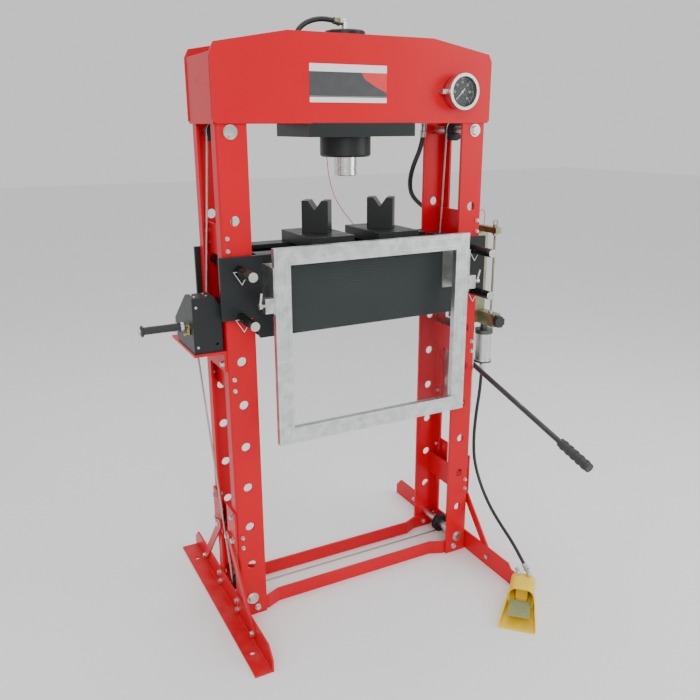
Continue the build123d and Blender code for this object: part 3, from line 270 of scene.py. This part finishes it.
def clear(name, colour, alpha):
    """A thin clear sheet with wiped-on haze."""
    f = Finish(name, {"Roughness": 0.05, "Specular IOR Level": 0.4, "Base Color": colour})
    haze = f.rise(f.noise(6.0, 6.0), 0.45, 0.8)
    f.set(Alpha=alpha + haze * 0.02)
    return f.material


def pin_steel(name):
    """Oiled black pin with bright sawn ends."""
    f = Finish(name, {"Metallic": 1.0})
    soft = f.rounded(0.001)
    patch = f.noise(45.0, 5.0)
    end = f.rise(f.facing(FRONT), 0.55, 0.75)
    back = f.rise(f.facing(-FRONT), 0.55, 0.75)
    wear = f.rise(patch, 0.52, 0.62) * 0.5
    ends = end + back
    body = f.mix(wear, (0.055, 0.06, 0.058, 1.0), (0.2, 0.21, 0.205, 1.0))
    body = f.mix(ends, body, (0.62, 0.63, 0.6, 1.0))
    f.set(Base_Color=body, Roughness=0.42 - ends * 0.1 + (patch - 0.5) * 0.2)
    f.relief(f.noise(400.0, 3.0), 0.1, 0.0001, soft)
    return f.material


def ram_steel(name):
    """Hard-chromed ram with a thin film of oil."""
    f = Finish(name, {"Metallic": 1.0})
    soft = f.rounded(0.0008)
    lines = f.noise(700.0, 2.0, (0.04, 0.04, 1.0))
    film = f.noise(24.0, 4.0)
    body = f.mix(film, (0.62, 0.64, 0.6, 1.0), (0.8, 0.81, 0.78, 1.0))
    f.set(Base_Color=body, Roughness=0.2 + (film - 0.5) * 0.16 + (lines - 0.5) * 0.1)
    f.relief(lines, 0.08, 0.0001, soft)
    return f.material


def motor_metal(name):
    """Cast air motor: bright barrel between dark flanges, with turned lines round it."""
    low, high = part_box("air_motor")
    f = Finish(name, {"Metallic": 1.0})
    soft = f.rounded(0.001)
    height = f.axis("Z")
    foot_flange, head_flange = 0.012, 0.038
    flange = 1 - f.between(height, low[2] + foot_flange, high[2] - head_flange, 0.0005)
    lines = f.noise(500.0, 2.0, (0.03, 0.03, 1.0))
    patch = f.noise(35.0, 5.0)
    body = f.mix(patch, (0.56, 0.57, 0.56, 1.0), (0.74, 0.75, 0.74, 1.0))
    body = f.mix(flange, body, (0.12, 0.125, 0.12, 1.0))
    f.set(Base_Color=body, Roughness=0.32 + (patch - 0.5) * 0.2 + flange * 0.12)
    f.relief(lines, 0.3, 0.0002, soft)
    return f.material


def wire_rope(name):
    """Galvanised wire rope, its strands twisted round it."""
    f = Finish(name, {"Metallic": 1.0})
    twist = f.node("ShaderNodeTexWave", {"bands_direction": "DIAGONAL"},
                   {"Vector": f.place, "Scale": 330.0, "Distortion": 0.6}, "Fac")
    patch = f.noise(40.0, 4.0)
    body = f.mix(twist, (0.2, 0.2, 0.19, 1.0), (0.66, 0.66, 0.62, 1.0))
    f.set(Base_Color=body, Roughness=0.4 + (patch - 0.5) * 0.25)
    f.relief(twist, 0.7, 0.0006)
    return f.material


def handle_black(name):
    """Blackened steel handle with a softer rubber grip over its end."""
    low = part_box("pump_handle")[0]
    f = Finish(name, {"Specular IOR Level": 0.5})
    soft = f.rounded(0.0015)
    grip_end = low[1] + 0.124
    grip = 1 - f.rise(f.axis("Y"), grip_end, grip_end + 0.0005)
    patch = f.noise(50.0, 5.0)
    scratch = f.rise(f.noise(120.0, 6.0, (1, 0.2, 0.2)), 0.64, 0.7) * (1 - grip)
    body = f.mix(patch, (0.02, 0.021, 0.023, 1.0), (0.05, 0.052, 0.055, 1.0))
    body = f.mix(scratch, body, (0.22, 0.22, 0.21, 1.0))
    f.set(Base_Color=body, Roughness=0.36 + grip * 0.22 + (patch - 0.5) * 0.2)
    f.relief(f.noise(500.0, 2.0), 0.25, 0.0002, soft)
    return f.material


def printed_label(name):
    """A plain printed plate: white bands, a dark field and a red sweep at its right, with no lettering."""
    low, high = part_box("label_plate")
    width, height = high[0] - low[0], high[2] - low[2]
    f = Finish(name, {"Coat Weight": 0.3, "Coat Roughness": 0.1})
    across = (f.axis("X") - low[0]) * (1 / width)
    up = (f.axis("Z") - low[2]) * (1 / height)
    # heights and widths on the plate run from 0 to 1
    edge, top_line, low_line, sweep_start = 0.003, 0.8, 0.135, 0.66
    dark, red, white = (0.045, 0.046, 0.05, 1.0), (0.72, 0.012, 0.02, 1.0), (0.82, 0.82, 0.84, 1.0)
    top_band = f.rise(up, top_line - edge, top_line + edge)
    low_band = 1 - f.rise(up, low_line - edge, low_line + edge)
    from_right = 1 - across
    hollow = f.rise(up - 0.27 - from_right * 0.95 - from_right * from_right * 0.9, 0, 0.012)
    sweep = hollow * f.rise(across - sweep_start + (up - top_line) * 0.25, 0, 0.01)
    body = f.mix(top_band, f.mix(sweep, dark, red), white)
    body = f.mix(low_band, body, white)
    grey = f.between(up, 0.15, 0.17, edge)
    body = f.mix(grey, body, (0.2, 0.2, 0.21, 1.0))
    smudge = f.noise(40.0, 5.0)
    f.set(Base_Color=f.mix(smudge * 0.08, body, (0.3, 0.3, 0.3, 1.0)),
          Roughness=0.24 + (smudge - 0.5) * 0.16)
    f.relief(f.noise(300.0, 2.0), 0.05, 0.0001, f.rounded(0.0006))
    return f.material


def floor_grey(name):
    """Plain pale floor."""
    f = Finish(name, {})
    drift = f.noise(1.5, 3.0)
    f.set(Base_Color=f.mix(drift, (0.86, 0.865, 0.87, 1.0), (0.9, 0.905, 0.91, 1.0)),
          Roughness=0.6 + drift * 0.1)
    return f.material


def all_finishes(colours):
    """Every finish by name."""
    steel = (0.5, 0.51, 0.5, 1.0)
    primer = (0.16, 0.14, 0.13, 1.0)
    return {
        "red": enamel("red_enamel", (*colours.red, 1.0), primer, 0.3),
        "black": enamel("black_enamel", (*colours.black, 1.0), (0.3, 0.3, 0.29, 1.0), 0.34, 0.22),
        "zinc": plated("zinc_plate", (0.5, 0.52, 0.5, 1.0), (0.7, 0.71, 0.66, 1.0), 0.34),
        "turned": plated("turned_steel", steel, (0.68, 0.69, 0.67, 1.0), 0.28, (1, 0.05, 0.05)),
        "olive": plated("yellow_zinc", (0.27, 0.28, 0.17, 1.0), (0.38, 0.38, 0.24, 1.0), 0.42),
        "aluminium": plated("guard_aluminium", (0.58, 0.6, 0.6, 1.0), (0.72, 0.735, 0.73, 1.0), 0.4,
                            (0.04, 1, 0.04)),
        "brass": plated("brass", (0.5, 0.4, 0.14, 1.0), (0.62, 0.5, 0.2, 1.0), 0.35),
        "pin": pin_steel("pin_steel"),
        "ram": ram_steel("ram_chrome"),
        "motor": motor_metal("motor_metal"),
        "rope": wire_rope("wire_rope"),
        "handle": handle_black("handle_black"),
        "label": printed_label("printed_label"),
        "rubber": moulded("black_rubber", (0.018, 0.019, 0.02, 1.0), 0.5, 900.0),
        "plastic": moulded("black_plastic", (0.02, 0.021, 0.022, 1.0), 0.42),
        "yellow": moulded("yellow_plastic", (*colours.yellow, 1.0), 0.4),
        "tread": moulded("tread_grey", (0.26, 0.29, 0.13, 1.0), 0.5),
        "red_string": moulded("red_string", (0.75, 0.01, 0.03, 1.0), 0.6, 1500.0),
        "dial": moulded("dial_black", (0.03, 0.036, 0.034, 1.0), 0.4),
        "ink": moulded("dial_marks", (0.75, 0.78, 0.74, 1.0), 0.5),
        "pane": clear("clear_pane", (0.12, 0.15, 0.15, 1.0), 0.05),
        "lens": clear("gauge_glass", (0.12, 0.15, 0.14, 1.0), 0.07),
    }


NODE_FINISHES = {
    "red": ("posts_left", "posts_right", "beam_plates", "beam_end_plates", "feet", "struts", "floor_braces",
            "cross_plates", "winch_shelf"),
    "black": ("head_plate", "cylinder_body", "bed_front_rail", "bed_rear_rail", "bed_spacers",
              "arbor_plate_left", "arbor_plate_right", "v_block_left", "v_block_right", "winch_housing",
              "pulley_top_left", "pulley_top_right", "pulley_bottom_left", "pulley_bottom_right"),
    "zinc": ("frame_bolts", "pulley_axles", "hose_fittings", "guard_brackets", "pump_plate", "winch_drum",
             "gauge_case", "wing_screw_left", "wing_screw_right"),
    "turned": ("winch_crank",),
    "olive": ("pump_tank", "pump_block"),
    "aluminium": ("guard_frame",),
    "pin": ("pin_upper_left", "pin_lower_left", "pin_upper_right", "pin_lower_right"),
    "ram": ("ram",),
    "motor": ("air_motor",),
    "rope": ("lift_cable_left", "lift_cable_right"),
    "handle": ("pump_handle",),
    "label": ("label_plate",),
    "plastic": ("release_knob",),
    "yellow": ("pedal_base", "pedal_cover"),
    "tread": ("pedal_treadle",),
    "ink": ("gauge_pointer",),
    "pane": ("guard_pane",),
    "lens": ("gauge_lens",),
}


# ---------------------------------------------------------------- bench tools
def put_down():
    """Leave edit mode and select nothing."""
    if bpy.context.mode != "OBJECT":
        bpy.ops.object.mode_set(mode="OBJECT")
    bpy.ops.object.select_all(action="DESELECT")


def pick_up(pieces):
    """Select these pieces only."""
    put_down()
    for piece in pieces:
        piece.select_set(True)
    bpy.context.view_layer.objects.active = pieces[0]


def fit(piece, name, body, finish, smooth=35.0):
    """Put a piece's place in its mesh, smooth it, give it its finish, and fix it to its body."""
    pick_up([piece])
    bpy.ops.object.transform_apply(location=True, rotation=True, scale=True)
    if smooth:
        bpy.ops.object.shade_smooth_by_angle(angle=radians(smooth))
    piece.name = name
    piece.data.materials.clear()
    piece.data.materials.append(finish)
    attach(piece, body)
    return piece


def gather(pieces):
    """Join pieces into the first one."""
    for piece in pieces:
        pick_up([piece])
        bpy.ops.object.transform_apply(location=True, rotation=True, scale=True)
    pick_up(pieces)
    if len(pieces) > 1:
        bpy.ops.object.join()
    return bpy.context.object


def turned(steps, start, direction, sides=32):
    """A turned piece: a disc drawn out step by step. Each step is a radius and a height above the start."""
    put_down()
    radius, height = steps[0]
    bpy.ops.mesh.primitive_circle_add(vertices=sides, radius=radius, fill_type="NGON",
                                      location=(0, 0, height))
    piece = bpy.context.object
    bpy.ops.object.mode_set(mode="EDIT")
    bpy.ops.mesh.select_all(action="SELECT")
    for wide, high in steps[1:]:
        bpy.ops.mesh.extrude_region_move(TRANSFORM_OT_translate={"value": (0, 0, high - height)})
        factor = wide / radius
        bpy.ops.transform.resize(value=(factor, factor, 1), center_override=(0, 0, high))
        radius, height = wide, high
    bpy.ops.mesh.select_all(action="SELECT")
    bpy.ops.mesh.normals_make_consistent(inside=False)
    bpy.ops.object.mode_set(mode="OBJECT")
    piece.rotation_mode = "QUATERNION"
    piece.rotation_quaternion = Vector(direction).to_track_quat("Z", "Y")
    piece.location = start
    return piece


def bar(low, high, soften):
    """A flat bar between two corners, its edges eased."""
    put_down()
    low, high = Vector(low), Vector(high)
    bpy.ops.mesh.primitive_cube_add(size=1.0, location=(low + high) / 2, scale=high - low)
    piece = bpy.context.object
    bpy.ops.object.transform_apply(location=False, rotation=False, scale=True)
    bpy.ops.object.mode_set(mode="EDIT")
    bpy.ops.mesh.select_all(action="SELECT")
    bpy.ops.mesh.bevel(offset=soften, segments=2, affect="EDGES")
    bpy.ops.object.mode_set(mode="OBJECT")
    return piece


def copy_of(piece):
    """A copy with its own mesh."""
    twin = piece.copy()
    twin.data = piece.data.copy()
    bpy.context.scene.collection.objects.link(twin)
    return twin


def repeat(piece, places):
    """The piece at the first place, and a copy of it at each of the others."""
    row = [piece] + [copy_of(piece) for _ in places[1:]]
    for one, place in zip(row, places):
        one.location = place
    return row


def weld_bead(start, end, radius):
    """A row of overlapping ripples from start to end."""
    put_down()
    start, end = Vector(start), Vector(end)
    run = end - start
    ripple = radius * 0.8
    count = max(2, int(run.length / ripple))
    bpy.ops.mesh.primitive_uv_sphere_add(segments=10, ring_count=6, radius=radius)
    bead = bpy.context.object
    bpy.ops.object.mode_set(mode="EDIT")
    bpy.ops.mesh.select_all(action="SELECT")
    bpy.ops.transform.resize(value=(1.0, 0.62, 0.7))
    bpy.ops.object.mode_set(mode="OBJECT")
    row = bead.modifiers.new("ripples", "ARRAY")
    row.count = count
    row.use_relative_offset = False
    row.use_constant_offset = True
    row.constant_offset_displace = (0, run.length / (count - 1), 0)
    bpy.ops.object.modifier_apply(modifier=row.name)
    bead.rotation_mode = "QUATERNION"
    bead.rotation_quaternion = run.to_track_quat("Y", "Z")
    bead.location = start
    return bead


# ---------------------------------------------------------------- hoses and strings
# places in millimetres: the same control points as the routes of the solid tubes
ROUTES = {
    "air_hose": ((519, -80, 720), (518, -79, 640), (509, -74, 545), (503, -73, 440), (502, -84, 350),
                 (503, -128, 268), (501, -195, 205), (498, -268, 165), (493, -340, 135), (486, -398, 104),
                 (480.67, -436.69, 83.6)),
    "ram_hose": ((331, 60, 1552), (325, 63, 1500), (305, 80, 1440), (306, 104, 1386), (331, 134, 1338),
                 (377, 160, 1303), (432, 177, 1272), (482, 172, 1230), (504, 134, 1190), (505, 82, 1172)),
    "top_hose": ((-165, 0, 1797), (-162, 0, 1828), (-136, 0, 1856), (-94, 0, 1871), (-52, 0, 1872),
                 (-18, 0, 1866)),
    "tie_string": ((-42, 48, 1476.7), (-36, 53, 1430), (-22, 62, 1385), (-2, 70, 1340), (27, 79, 1302),
                   (58, 88, 1270), (80, 96, 1248.3)),
    "tag_string": ((519, -50, 1235), (521, -51, 1256), (519, -54, 1275), (509, -60, 1288), (494, -67, 1292),
                   (478, -73, 1286), (466, -77, 1274), (456.4, -80, 1256)),
}
# radius and length in millimetres, stiffness, lay, finish, slot
CORDS = {
    "air_hose": (6.0, 826, "stiff", "hanging", "rubber", "black_rubber"),
    "ram_hose": (8.0, 541, "stiff", "hanging", "rubber", "black_rubber"),
    "top_hose": (7.5, 188, "stiff", "hanging", "rubber", "black_rubber"),
    "tie_string": (1.2, 271, "limp", "hanging", "red_string", "red_cord"),
    "tag_string": (1.2, 129, "limp", "hanging", "red_string", "red_cord"),
}


def lay_cord(node, finishes):
    """One hose or string as a smooth spline on its route's points."""
    radius, length, stiffness, lay, finish, slot = CORDS[node]
    route = [at(*place) for place in ROUTES[node]]
    line = bpy.data.curves.new(node + "_line", "CURVE")
    line.dimensions = "3D"
    line.resolution_u = 12
    line.bevel_depth = radius * MM
    line.bevel_resolution = 6
    line.use_fill_caps = True
    spline = line.splines.new("NURBS")
    spline.points.add(len(route) - 1)
    for point, place in zip(spline.points, route):
        point.co = (*place, 1.0)
    spline.order_u = 3
    spline.use_endpoint_u = True
    line.materials.append(finishes[finish])
    cord = bpy.data.objects.new(node + "_line", line)
    bpy.context.scene.collection.objects.link(cord)
    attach(cord, "frame")
    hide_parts(node)
    return cord


FINISHES = {}


# ---------------------------------------------------------------- what a user may change
class PressColours(bpy.types.PropertyGroup):
    """Paint and plastic colours."""

    red: bpy.props.FloatVectorProperty(
        name="Red", description="Enamel of the frame", subtype="COLOR", size=3, min=0, max=1,
        default=(0.6, 0.0, 0.011))
    black: bpy.props.FloatVectorProperty(
        name="Black", description="Enamel of the bed, cylinder and winch", subtype="COLOR", size=3, min=0,
        max=1, default=(0.02, 0.0225, 0.023))
    yellow: bpy.props.FloatVectorProperty(
        name="Yellow", description="Plastic of the foot pedal", subtype="COLOR", size=3, min=0, max=1,
        default=(0.95, 0.62, 0.03))


class PressSizes(bpy.types.PropertyGroup):
    """Sizes of the small fittings."""

    bead: bpy.props.FloatProperty(
        name="Weld bead", description="Half width of a weld bead", unit="LENGTH", default=0.004, min=0.001)
    ridge: bpy.props.FloatProperty(
        name="Guard ridge", description="Width of the ridge along the guard's rails", unit="LENGTH",
        default=0.003, min=0.0005)
    floor: bpy.props.FloatProperty(
        name="Floor", description="Side of the floor", unit="LENGTH", default=40.0, min=2.0)


# ---------------------------------------------------------------- steps
class PRESS_OT_stage(bpy.types.Operator):
    """Floor, soft lights and camera"""

    bl_idname = "press.stage"
    bl_label = "Stage"

    def execute(self, context):
        side = context.scene.press_sizes.floor
        put_down()
        bpy.ops.mesh.primitive_plane_add(size=side, location=(0, 0, -0.0005))
        floor = context.object
        floor.name = "floor"
        floor.data.materials.append(floor_grey("floor_grey"))
        world = bpy.data.worlds.new("studio")
        world.use_nodes = True
        sky = world.node_tree.nodes["Background"]
        sky.inputs["Color"].default_value = (1.0, 1.0, 1.0, 1.0)
        sky.inputs["Strength"].default_value = SKY_STRENGTH
        context.scene.world = world
        aim = at(0, 0, 950)
        for name, place, power, size in LAMPS:
            lamp = bpy.data.lights.new(name, "AREA")
            lamp.energy = power
            lamp.size = size
            lamp.shape = "SQUARE"
            holder = bpy.data.objects.new(name, lamp)
            holder.location = place
            holder.rotation_euler = (aim - Vector(place)).to_track_quat("-Z", "Y").to_euler()
            context.scene.collection.objects.link(holder)
        lens = bpy.data.cameras.new("camera")
        lens.lens = CAMERA_LENS
        lens.sensor_width = CAMERA_SENSOR
        camera = bpy.data.objects.new("camera", lens)
        camera.location = CAMERA_PLACE
        camera.rotation_euler = [radians(turn) for turn in CAMERA_TURN]
        context.scene.collection.objects.link(camera)
        context.scene.camera = camera
        return {"FINISHED"}


class PRESS_OT_hoses(bpy.types.Operator):
    """Hoses and strings"""

    bl_idname = "press.hoses"
    bl_label = "Hoses and Strings"

    def execute(self, context):
        for node in CORDS:
            lay_cord(node, FINISHES)
        return {"FINISHED"}


class PRESS_OT_finishes(bpy.types.Operator):
    """Paint, plating and plastic on the press's own parts"""

    bl_idname = "press.finishes"
    bl_label = "Finishes"

    def execute(self, context):
        for finish, nodes in NODE_FINISHES.items():
            for name in nodes:
                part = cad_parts[name]
                for place in part.material_slots:
                    place.material = FINISHES[finish]
        return {"FINISHED"}


class PRESS_OT_gauge(bpy.types.Operator):
    """Dial of the pressure gauge with its marks and numbers"""

    bl_idname = "press.gauge"
    bl_label = "Gauge Dial"

    def execute(self, context):
        low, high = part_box("gauge_dial")
        centre = middle("gauge_dial")
        radius = (high[0] - low[0]) / 2
        back, front = high[1], low[1]
        disc = turned([(radius, 0), (radius, 0.0012), (radius * 0.97, 0.0015), (radius * 0.955, 0.0015),
                       (radius * 0.95, 0.0013), (radius * 0.03, 0.0013)],
                      Vector((centre.x, back, centre.z)), FRONT, 64)
        dial = fit(disc, "gauge_face", "frame", FINISHES["dial"])
        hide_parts("gauge_dial")
        marks = []
        face_y = front + 0.0001
        outer, deep = radius * 0.92, 0.0002
        numbered = GAUGE_MARKS // GAUGE_NUMBERS
        kinds = {}
        for k in range(GAUGE_MARKS + 1):
            turn = radians(GAUGE_START - GAUGE_SWEEP / GAUGE_MARKS * k)
            long_mark = k % numbered == 0
            inner = radius * (0.76 if long_mark else 0.83 if k % (numbered // 2) == 0 else 0.86)
            if inner in kinds:
                mark = copy_of(kinds[inner])
            else:
                thick = 0.0011 if long_mark else 0.0006
                mark = bar((inner, -deep, -thick / 2), (outer, deep, thick / 2), 0.00008)
                pick_up([mark])
                bpy.ops.object.transform_apply(location=True, rotation=True, scale=True)
                kinds[inner] = mark
            mark.rotation_euler = (0, -turn, 0)
            mark.location = (centre.x, face_y, centre.z)
            marks.append(mark)
        for k in range(GAUGE_NUMBERS + 1):
            turn = radians(GAUGE_START - GAUGE_SWEEP / GAUGE_NUMBERS * k)
            put_down()
            bpy.ops.object.text_add()
            number = context.object
            number.data.body = str(numbered * k)
            number.data.size = 0.0088
            number.data.extrude = 0.0001
            number.data.align_x = "CENTER"
            number.data.align_y = "CENTER"
            number.rotation_euler = (pi / 2, 0, 0)
            reach = radius * 0.6
            number.location = (centre.x + reach * cos(turn), face_y, centre.z + reach * sin(turn))
            bpy.ops.object.convert(target="MESH")
            marks.append(context.object)
        fit(gather(marks), "gauge_marks", "frame", FINISHES["ink"], 0)
        return {"FINISHED"}


class PRESS_OT_grips(bpy.types.Operator):
    """Ribbed grip of the winch crank with its washer"""

    bl_idname = "press.grips"
    bl_label = "Crank Grip"

    def execute(self, context):
        low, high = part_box("crank_grip")
        centre = middle("crank_grip")
        length = high[0] - low[0]
        widest = (high[2] - low[2]) / 2
        neck = widest - 0.005
        steps = [(widest * 0.9, 0), (widest, 0.0012), (widest, 0.004), (neck + 0.001, 0.0062)]
        first_rib, rib_pitch, ends = 0.0105, 0.0078, 0.03
        groove = neck - 0.001
        rib = 0.0
        while rib < length - ends:
            start = first_rib + rib
            steps += [(groove, start), (neck, start + 0.001),
                      (neck, start + 0.0048), (groove, start + 0.0058)]
            rib += rib_pitch
        steps += [(neck, length - 0.008), (widest, length - 0.0055), (widest, length - 0.0012),
                  (widest * 0.88, length), (0.0062, length)]
        grip = turned(steps, Vector((high[0], centre.y, centre.z)), (-1, 0, 0), 40)
        grip = fit(grip, "crank_grip_ribbed", "grip", FINISHES["plastic"])
        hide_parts("crank_grip")
        washer = turned(CRANK_WASHER, Vector((high[0] + 0.0018, centre.y, centre.z)), (-1, 0, 0), 32)
        fit(washer, "crank_washer", "winch", FINISHES["zinc"])
        return {"FINISHED"}


class PRESS_OT_guard_trim(bpy.types.Operator):
    """Ridges along the guard's rails"""

    bl_idname = "press.guard_trim"
    bl_label = "Guard Trim"

    def execute(self, context):
        low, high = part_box("guard_pane")
        outer_low, outer_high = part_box("guard_frame")
        half = context.scene.press_sizes.ridge / 2
        face = outer_low[1] + 0.0021
        back, front = face - 0.001, face + 0.0005
        rail = (outer_high[0] - outer_low[0] - high[0] + low[0]) / 2
        border, soften = 0.012, 0.0005
        strips = []
        for inset in (border, rail - border):
            left, right = outer_low[0] + inset, outer_high[0] - inset
            bottom, top = outer_low[2] + inset, outer_high[2] - inset
            for x in (left, right):
                strips.append(bar((x - half, back, bottom), (x + half, front, top), soften))
            for z in (bottom, top):
                strips.append(bar((left, back, z - half), (right, front, z + half), soften))
        fit(gather(strips), "guard_ridges", "guard", FINISHES["aluminium"])
        return {"FINISHED"}


class PRESS_OT_ferrules(bpy.types.Operator):
    """Crimped ferrules on the hose ends"""

    bl_idname = "press.ferrules"
    bl_label = "Hose Ferrules"

    def execute(self, context):
        for node in ("air_hose", "ram_hose", "top_hose"):
            radius = CORDS[node][0] * MM
            route = [at(*place) for place in ROUTES[node]]
            crimps = []
            for end, after in ((route[0], route[1]), (route[-1], route[-2])):
                away = (after - end).normalized()
                wide, collar = radius + 0.0028, radius + 0.0045
                groove = wide - 0.0008
                steps = [(radius + 0.004, -0.002), (collar, -0.001), (collar, 0.003), (wide, 0.0035)]
                for k in range(3):
                    base = 0.0055 + 0.004 * k
                    steps += [(groove, base), (wide, base + 0.001),
                              (wide, base + 0.003), (groove, base + 0.004)]
                steps += [(wide, 0.0185), (radius + 0.0004, 0.0195)]
                crimps.append(turned(steps, end, away, 32))
            plate = ("olive", "olive_zinc") if node == "top_hose" else ("zinc", "zinc_steel")
            fit(gather(crimps), node + "_ferrules", "frame", FINISHES[plate[0]])
        return {"FINISHED"}


class PRESS_OT_welds(bpy.types.Operator):
    """Weld beads of the beam, winch shelf, feet and head plate"""

    bl_idname = "press.welds"
    bl_label = "Weld Beads"

    def execute(self, context):
        half = context.scene.press_sizes.bead
        low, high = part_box("beam_end_plates")
        start, end = low[2] + 0.012, high[2] - 0.035
        corners = [Vector((x, y, start)) for x in (low[0], high[0]) for y in (low[1], high[1])]
        beads = repeat(weld_bead(corners[0], (low[0], low[1], end), half), corners)
        low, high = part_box("winch_shelf")
        x, z, margin = high[0] - 0.0095, high[2] - 0.009, 0.01
        beads.append(weld_bead((x, low[1] + margin, z), (x, high[1] - margin, z), half))
        low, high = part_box("feet")
        post_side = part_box("posts_left")[0][0]
        z, margin = 0.0072, 0.02
        starts = [Vector((x, low[1] + margin, z)) for x in (post_side - 0.0075, 0.0075 - post_side)]
        beads += repeat(weld_bead(starts[0], (starts[0].x, high[1] - margin, z), half), starts)
        fit(gather(beads), "frame_welds", "frame", FINISHES["red"])
        low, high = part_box("head_plate")
        left, right = low[0] + 0.01, high[0] - 0.01
        starts = [Vector((left, y * 0.985, high[2])) for y in (low[1], high[1])]
        runs = repeat(weld_bead(starts[0], (right, starts[0].y, high[2]), half * 0.9), starts)
        fit(gather(runs), "head_welds", "frame", FINISHES["black"])
        return {"FINISHED"}


class PRESS_OT_winch_trim(bpy.types.Operator):
    """Ratchet lever, hub nut and screws of the winch"""

    bl_idname = "press.winch_trim"
    bl_label = "Winch Trim"

    def execute(self, context):
        low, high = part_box("winch_housing")
        grip = middle("crank_grip")
        arm_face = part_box("crank_grip")[1][0] + 0.002
        drum = middle("winch_drum")
        nut = turned(CRANK_NUT, Vector((arm_face, drum.y, drum.z)), (-1, 0, 0), 6)
        fit(nut, "crank_nut", "winch", FINISHES["zinc"], 0)
        lever_y = grip.y + 0.021
        lever = bar((low[0] - 0.006, lever_y - 0.009, grip.z - 0.034),
                    (low[0] - 0.0015, lever_y + 0.009, grip.z - 0.004), 0.0012)
        boss = turned(LEVER_BOSS, Vector((low[0] + 0.0005, lever_y, grip.z - 0.012)), (-1, 0, 0), 24)
        tip = turned(LEVER_TIP, Vector((low[0] - 0.004, lever_y, grip.z - 0.031)), (-1, 0, 0), 20)
        fit(gather([lever, boss, tip]), "ratchet_lever", "frame", FINISHES["brass"])
        sunk = 0.0002
        roof = [Vector((low[0] + x, low[1] + y, high[2] - sunk))
                for y in (0.02, 0.052) for x in (0.014, 0.05)]
        front = [Vector((low[0] + 0.012, low[1] + sunk, low[2] + z)) for z in (0.02, 0.14)]
        screws = repeat(turned(SCREW_HEAD, roof[0], UP, 20), roof)
        screws += repeat(turned(SCREW_HEAD, front[0], FRONT, 20), front)
        fit(gather(screws), "winch_screws", "frame", FINISHES["zinc"])
        return {"FINISHED"}


class PRESS_OT_pump_trim(bpy.types.Operator):
    """Lock nuts, filler plug, motor rings and weld beads of the pump"""

    bl_idname = "press.pump_trim"
    bl_label = "Pump Trim"

    def execute(self, context):
        low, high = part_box("pump_tank")
        motor = middle("air_motor")
        rod_x, rod_y = high[0] - 0.017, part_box("pump_block")[0][1] + 0.035
        nuts = [turned(ROD_NUT, Vector((rod_x, rod_y, z)), way, 6)
                for z, way in ((low[2] + 0.0003, UP), (high[2] - 0.0003, -UP))]
        fit(gather(nuts), "pump_rod_nuts", "frame", FINISHES["zinc"], 0)
        plug = turned(FILLER_PLUG, Vector((motor.x, high[1] - 0.015, high[2] - 0.0002)), UP, 24)
        fit(plug, "tank_filler_plug", "frame", FINISHES["plastic"])
        first_ring, ring_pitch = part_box("air_motor")[0][2] + 0.03, 0.0135
        places = [Vector((motor.x, motor.y, first_ring + ring_pitch * k)) for k in range(5)]
        rings = repeat(turned(MOTOR_RING, places[0], UP, 48), places)
        fit(gather(rings), "motor_rings", "frame", FINISHES["motor"])
        right, left, z = high[0] - 0.008, low[0] + 0.006, low[2] + 0.001
        starts = [Vector((right, y, z)) for y in (low[1], high[1])]
        seams = repeat(weld_bead(starts[0], (left, low[1], z), 0.0026), starts)
        fit(gather(seams), "tank_welds", "frame", FINISHES["olive"])
        return {"FINISHED"}


STEPS = (PRESS_OT_stage, PRESS_OT_hoses, PRESS_OT_finishes, PRESS_OT_gauge, PRESS_OT_grips,
         PRESS_OT_guard_trim, PRESS_OT_ferrules, PRESS_OT_welds, PRESS_OT_winch_trim, PRESS_OT_pump_trim)


class PRESS_PT_steps(bpy.types.Panel):
    """The press's steps and what may be changed"""

    bl_label = "Shop Press"
    bl_idname = "PRESS_PT_steps"
    bl_space_type = "VIEW_3D"
    bl_region_type = "UI"
    bl_category = "Press"

    def draw(self, context):
        for group in (context.scene.press_colours, context.scene.press_sizes):
            for name in group.__annotations__:
                self.layout.prop(group, name)
        for step in STEPS:
            self.layout.operator(step.bl_idname)


CLASSES = (PressColours, PressSizes) + STEPS + (PRESS_PT_steps,)


def register():
    for item in CLASSES:
        bpy.utils.register_class(item)
    bpy.types.Scene.press_colours = bpy.props.PointerProperty(type=PressColours)
    bpy.types.Scene.press_sizes = bpy.props.PointerProperty(type=PressSizes)


def unregister():
    del bpy.types.Scene.press_sizes
    del bpy.types.Scene.press_colours
    for item in reversed(CLASSES):
        bpy.utils.unregister_class(item)


def main():
    register()
    FINISHES.update(all_finishes(bpy.context.scene.press_colours))
    for step in STEPS:
        group, name = step.bl_idname.split(".")
        getattr(getattr(bpy.ops, group), name)()
    put_down()


if __name__ == "__main__":
    main()
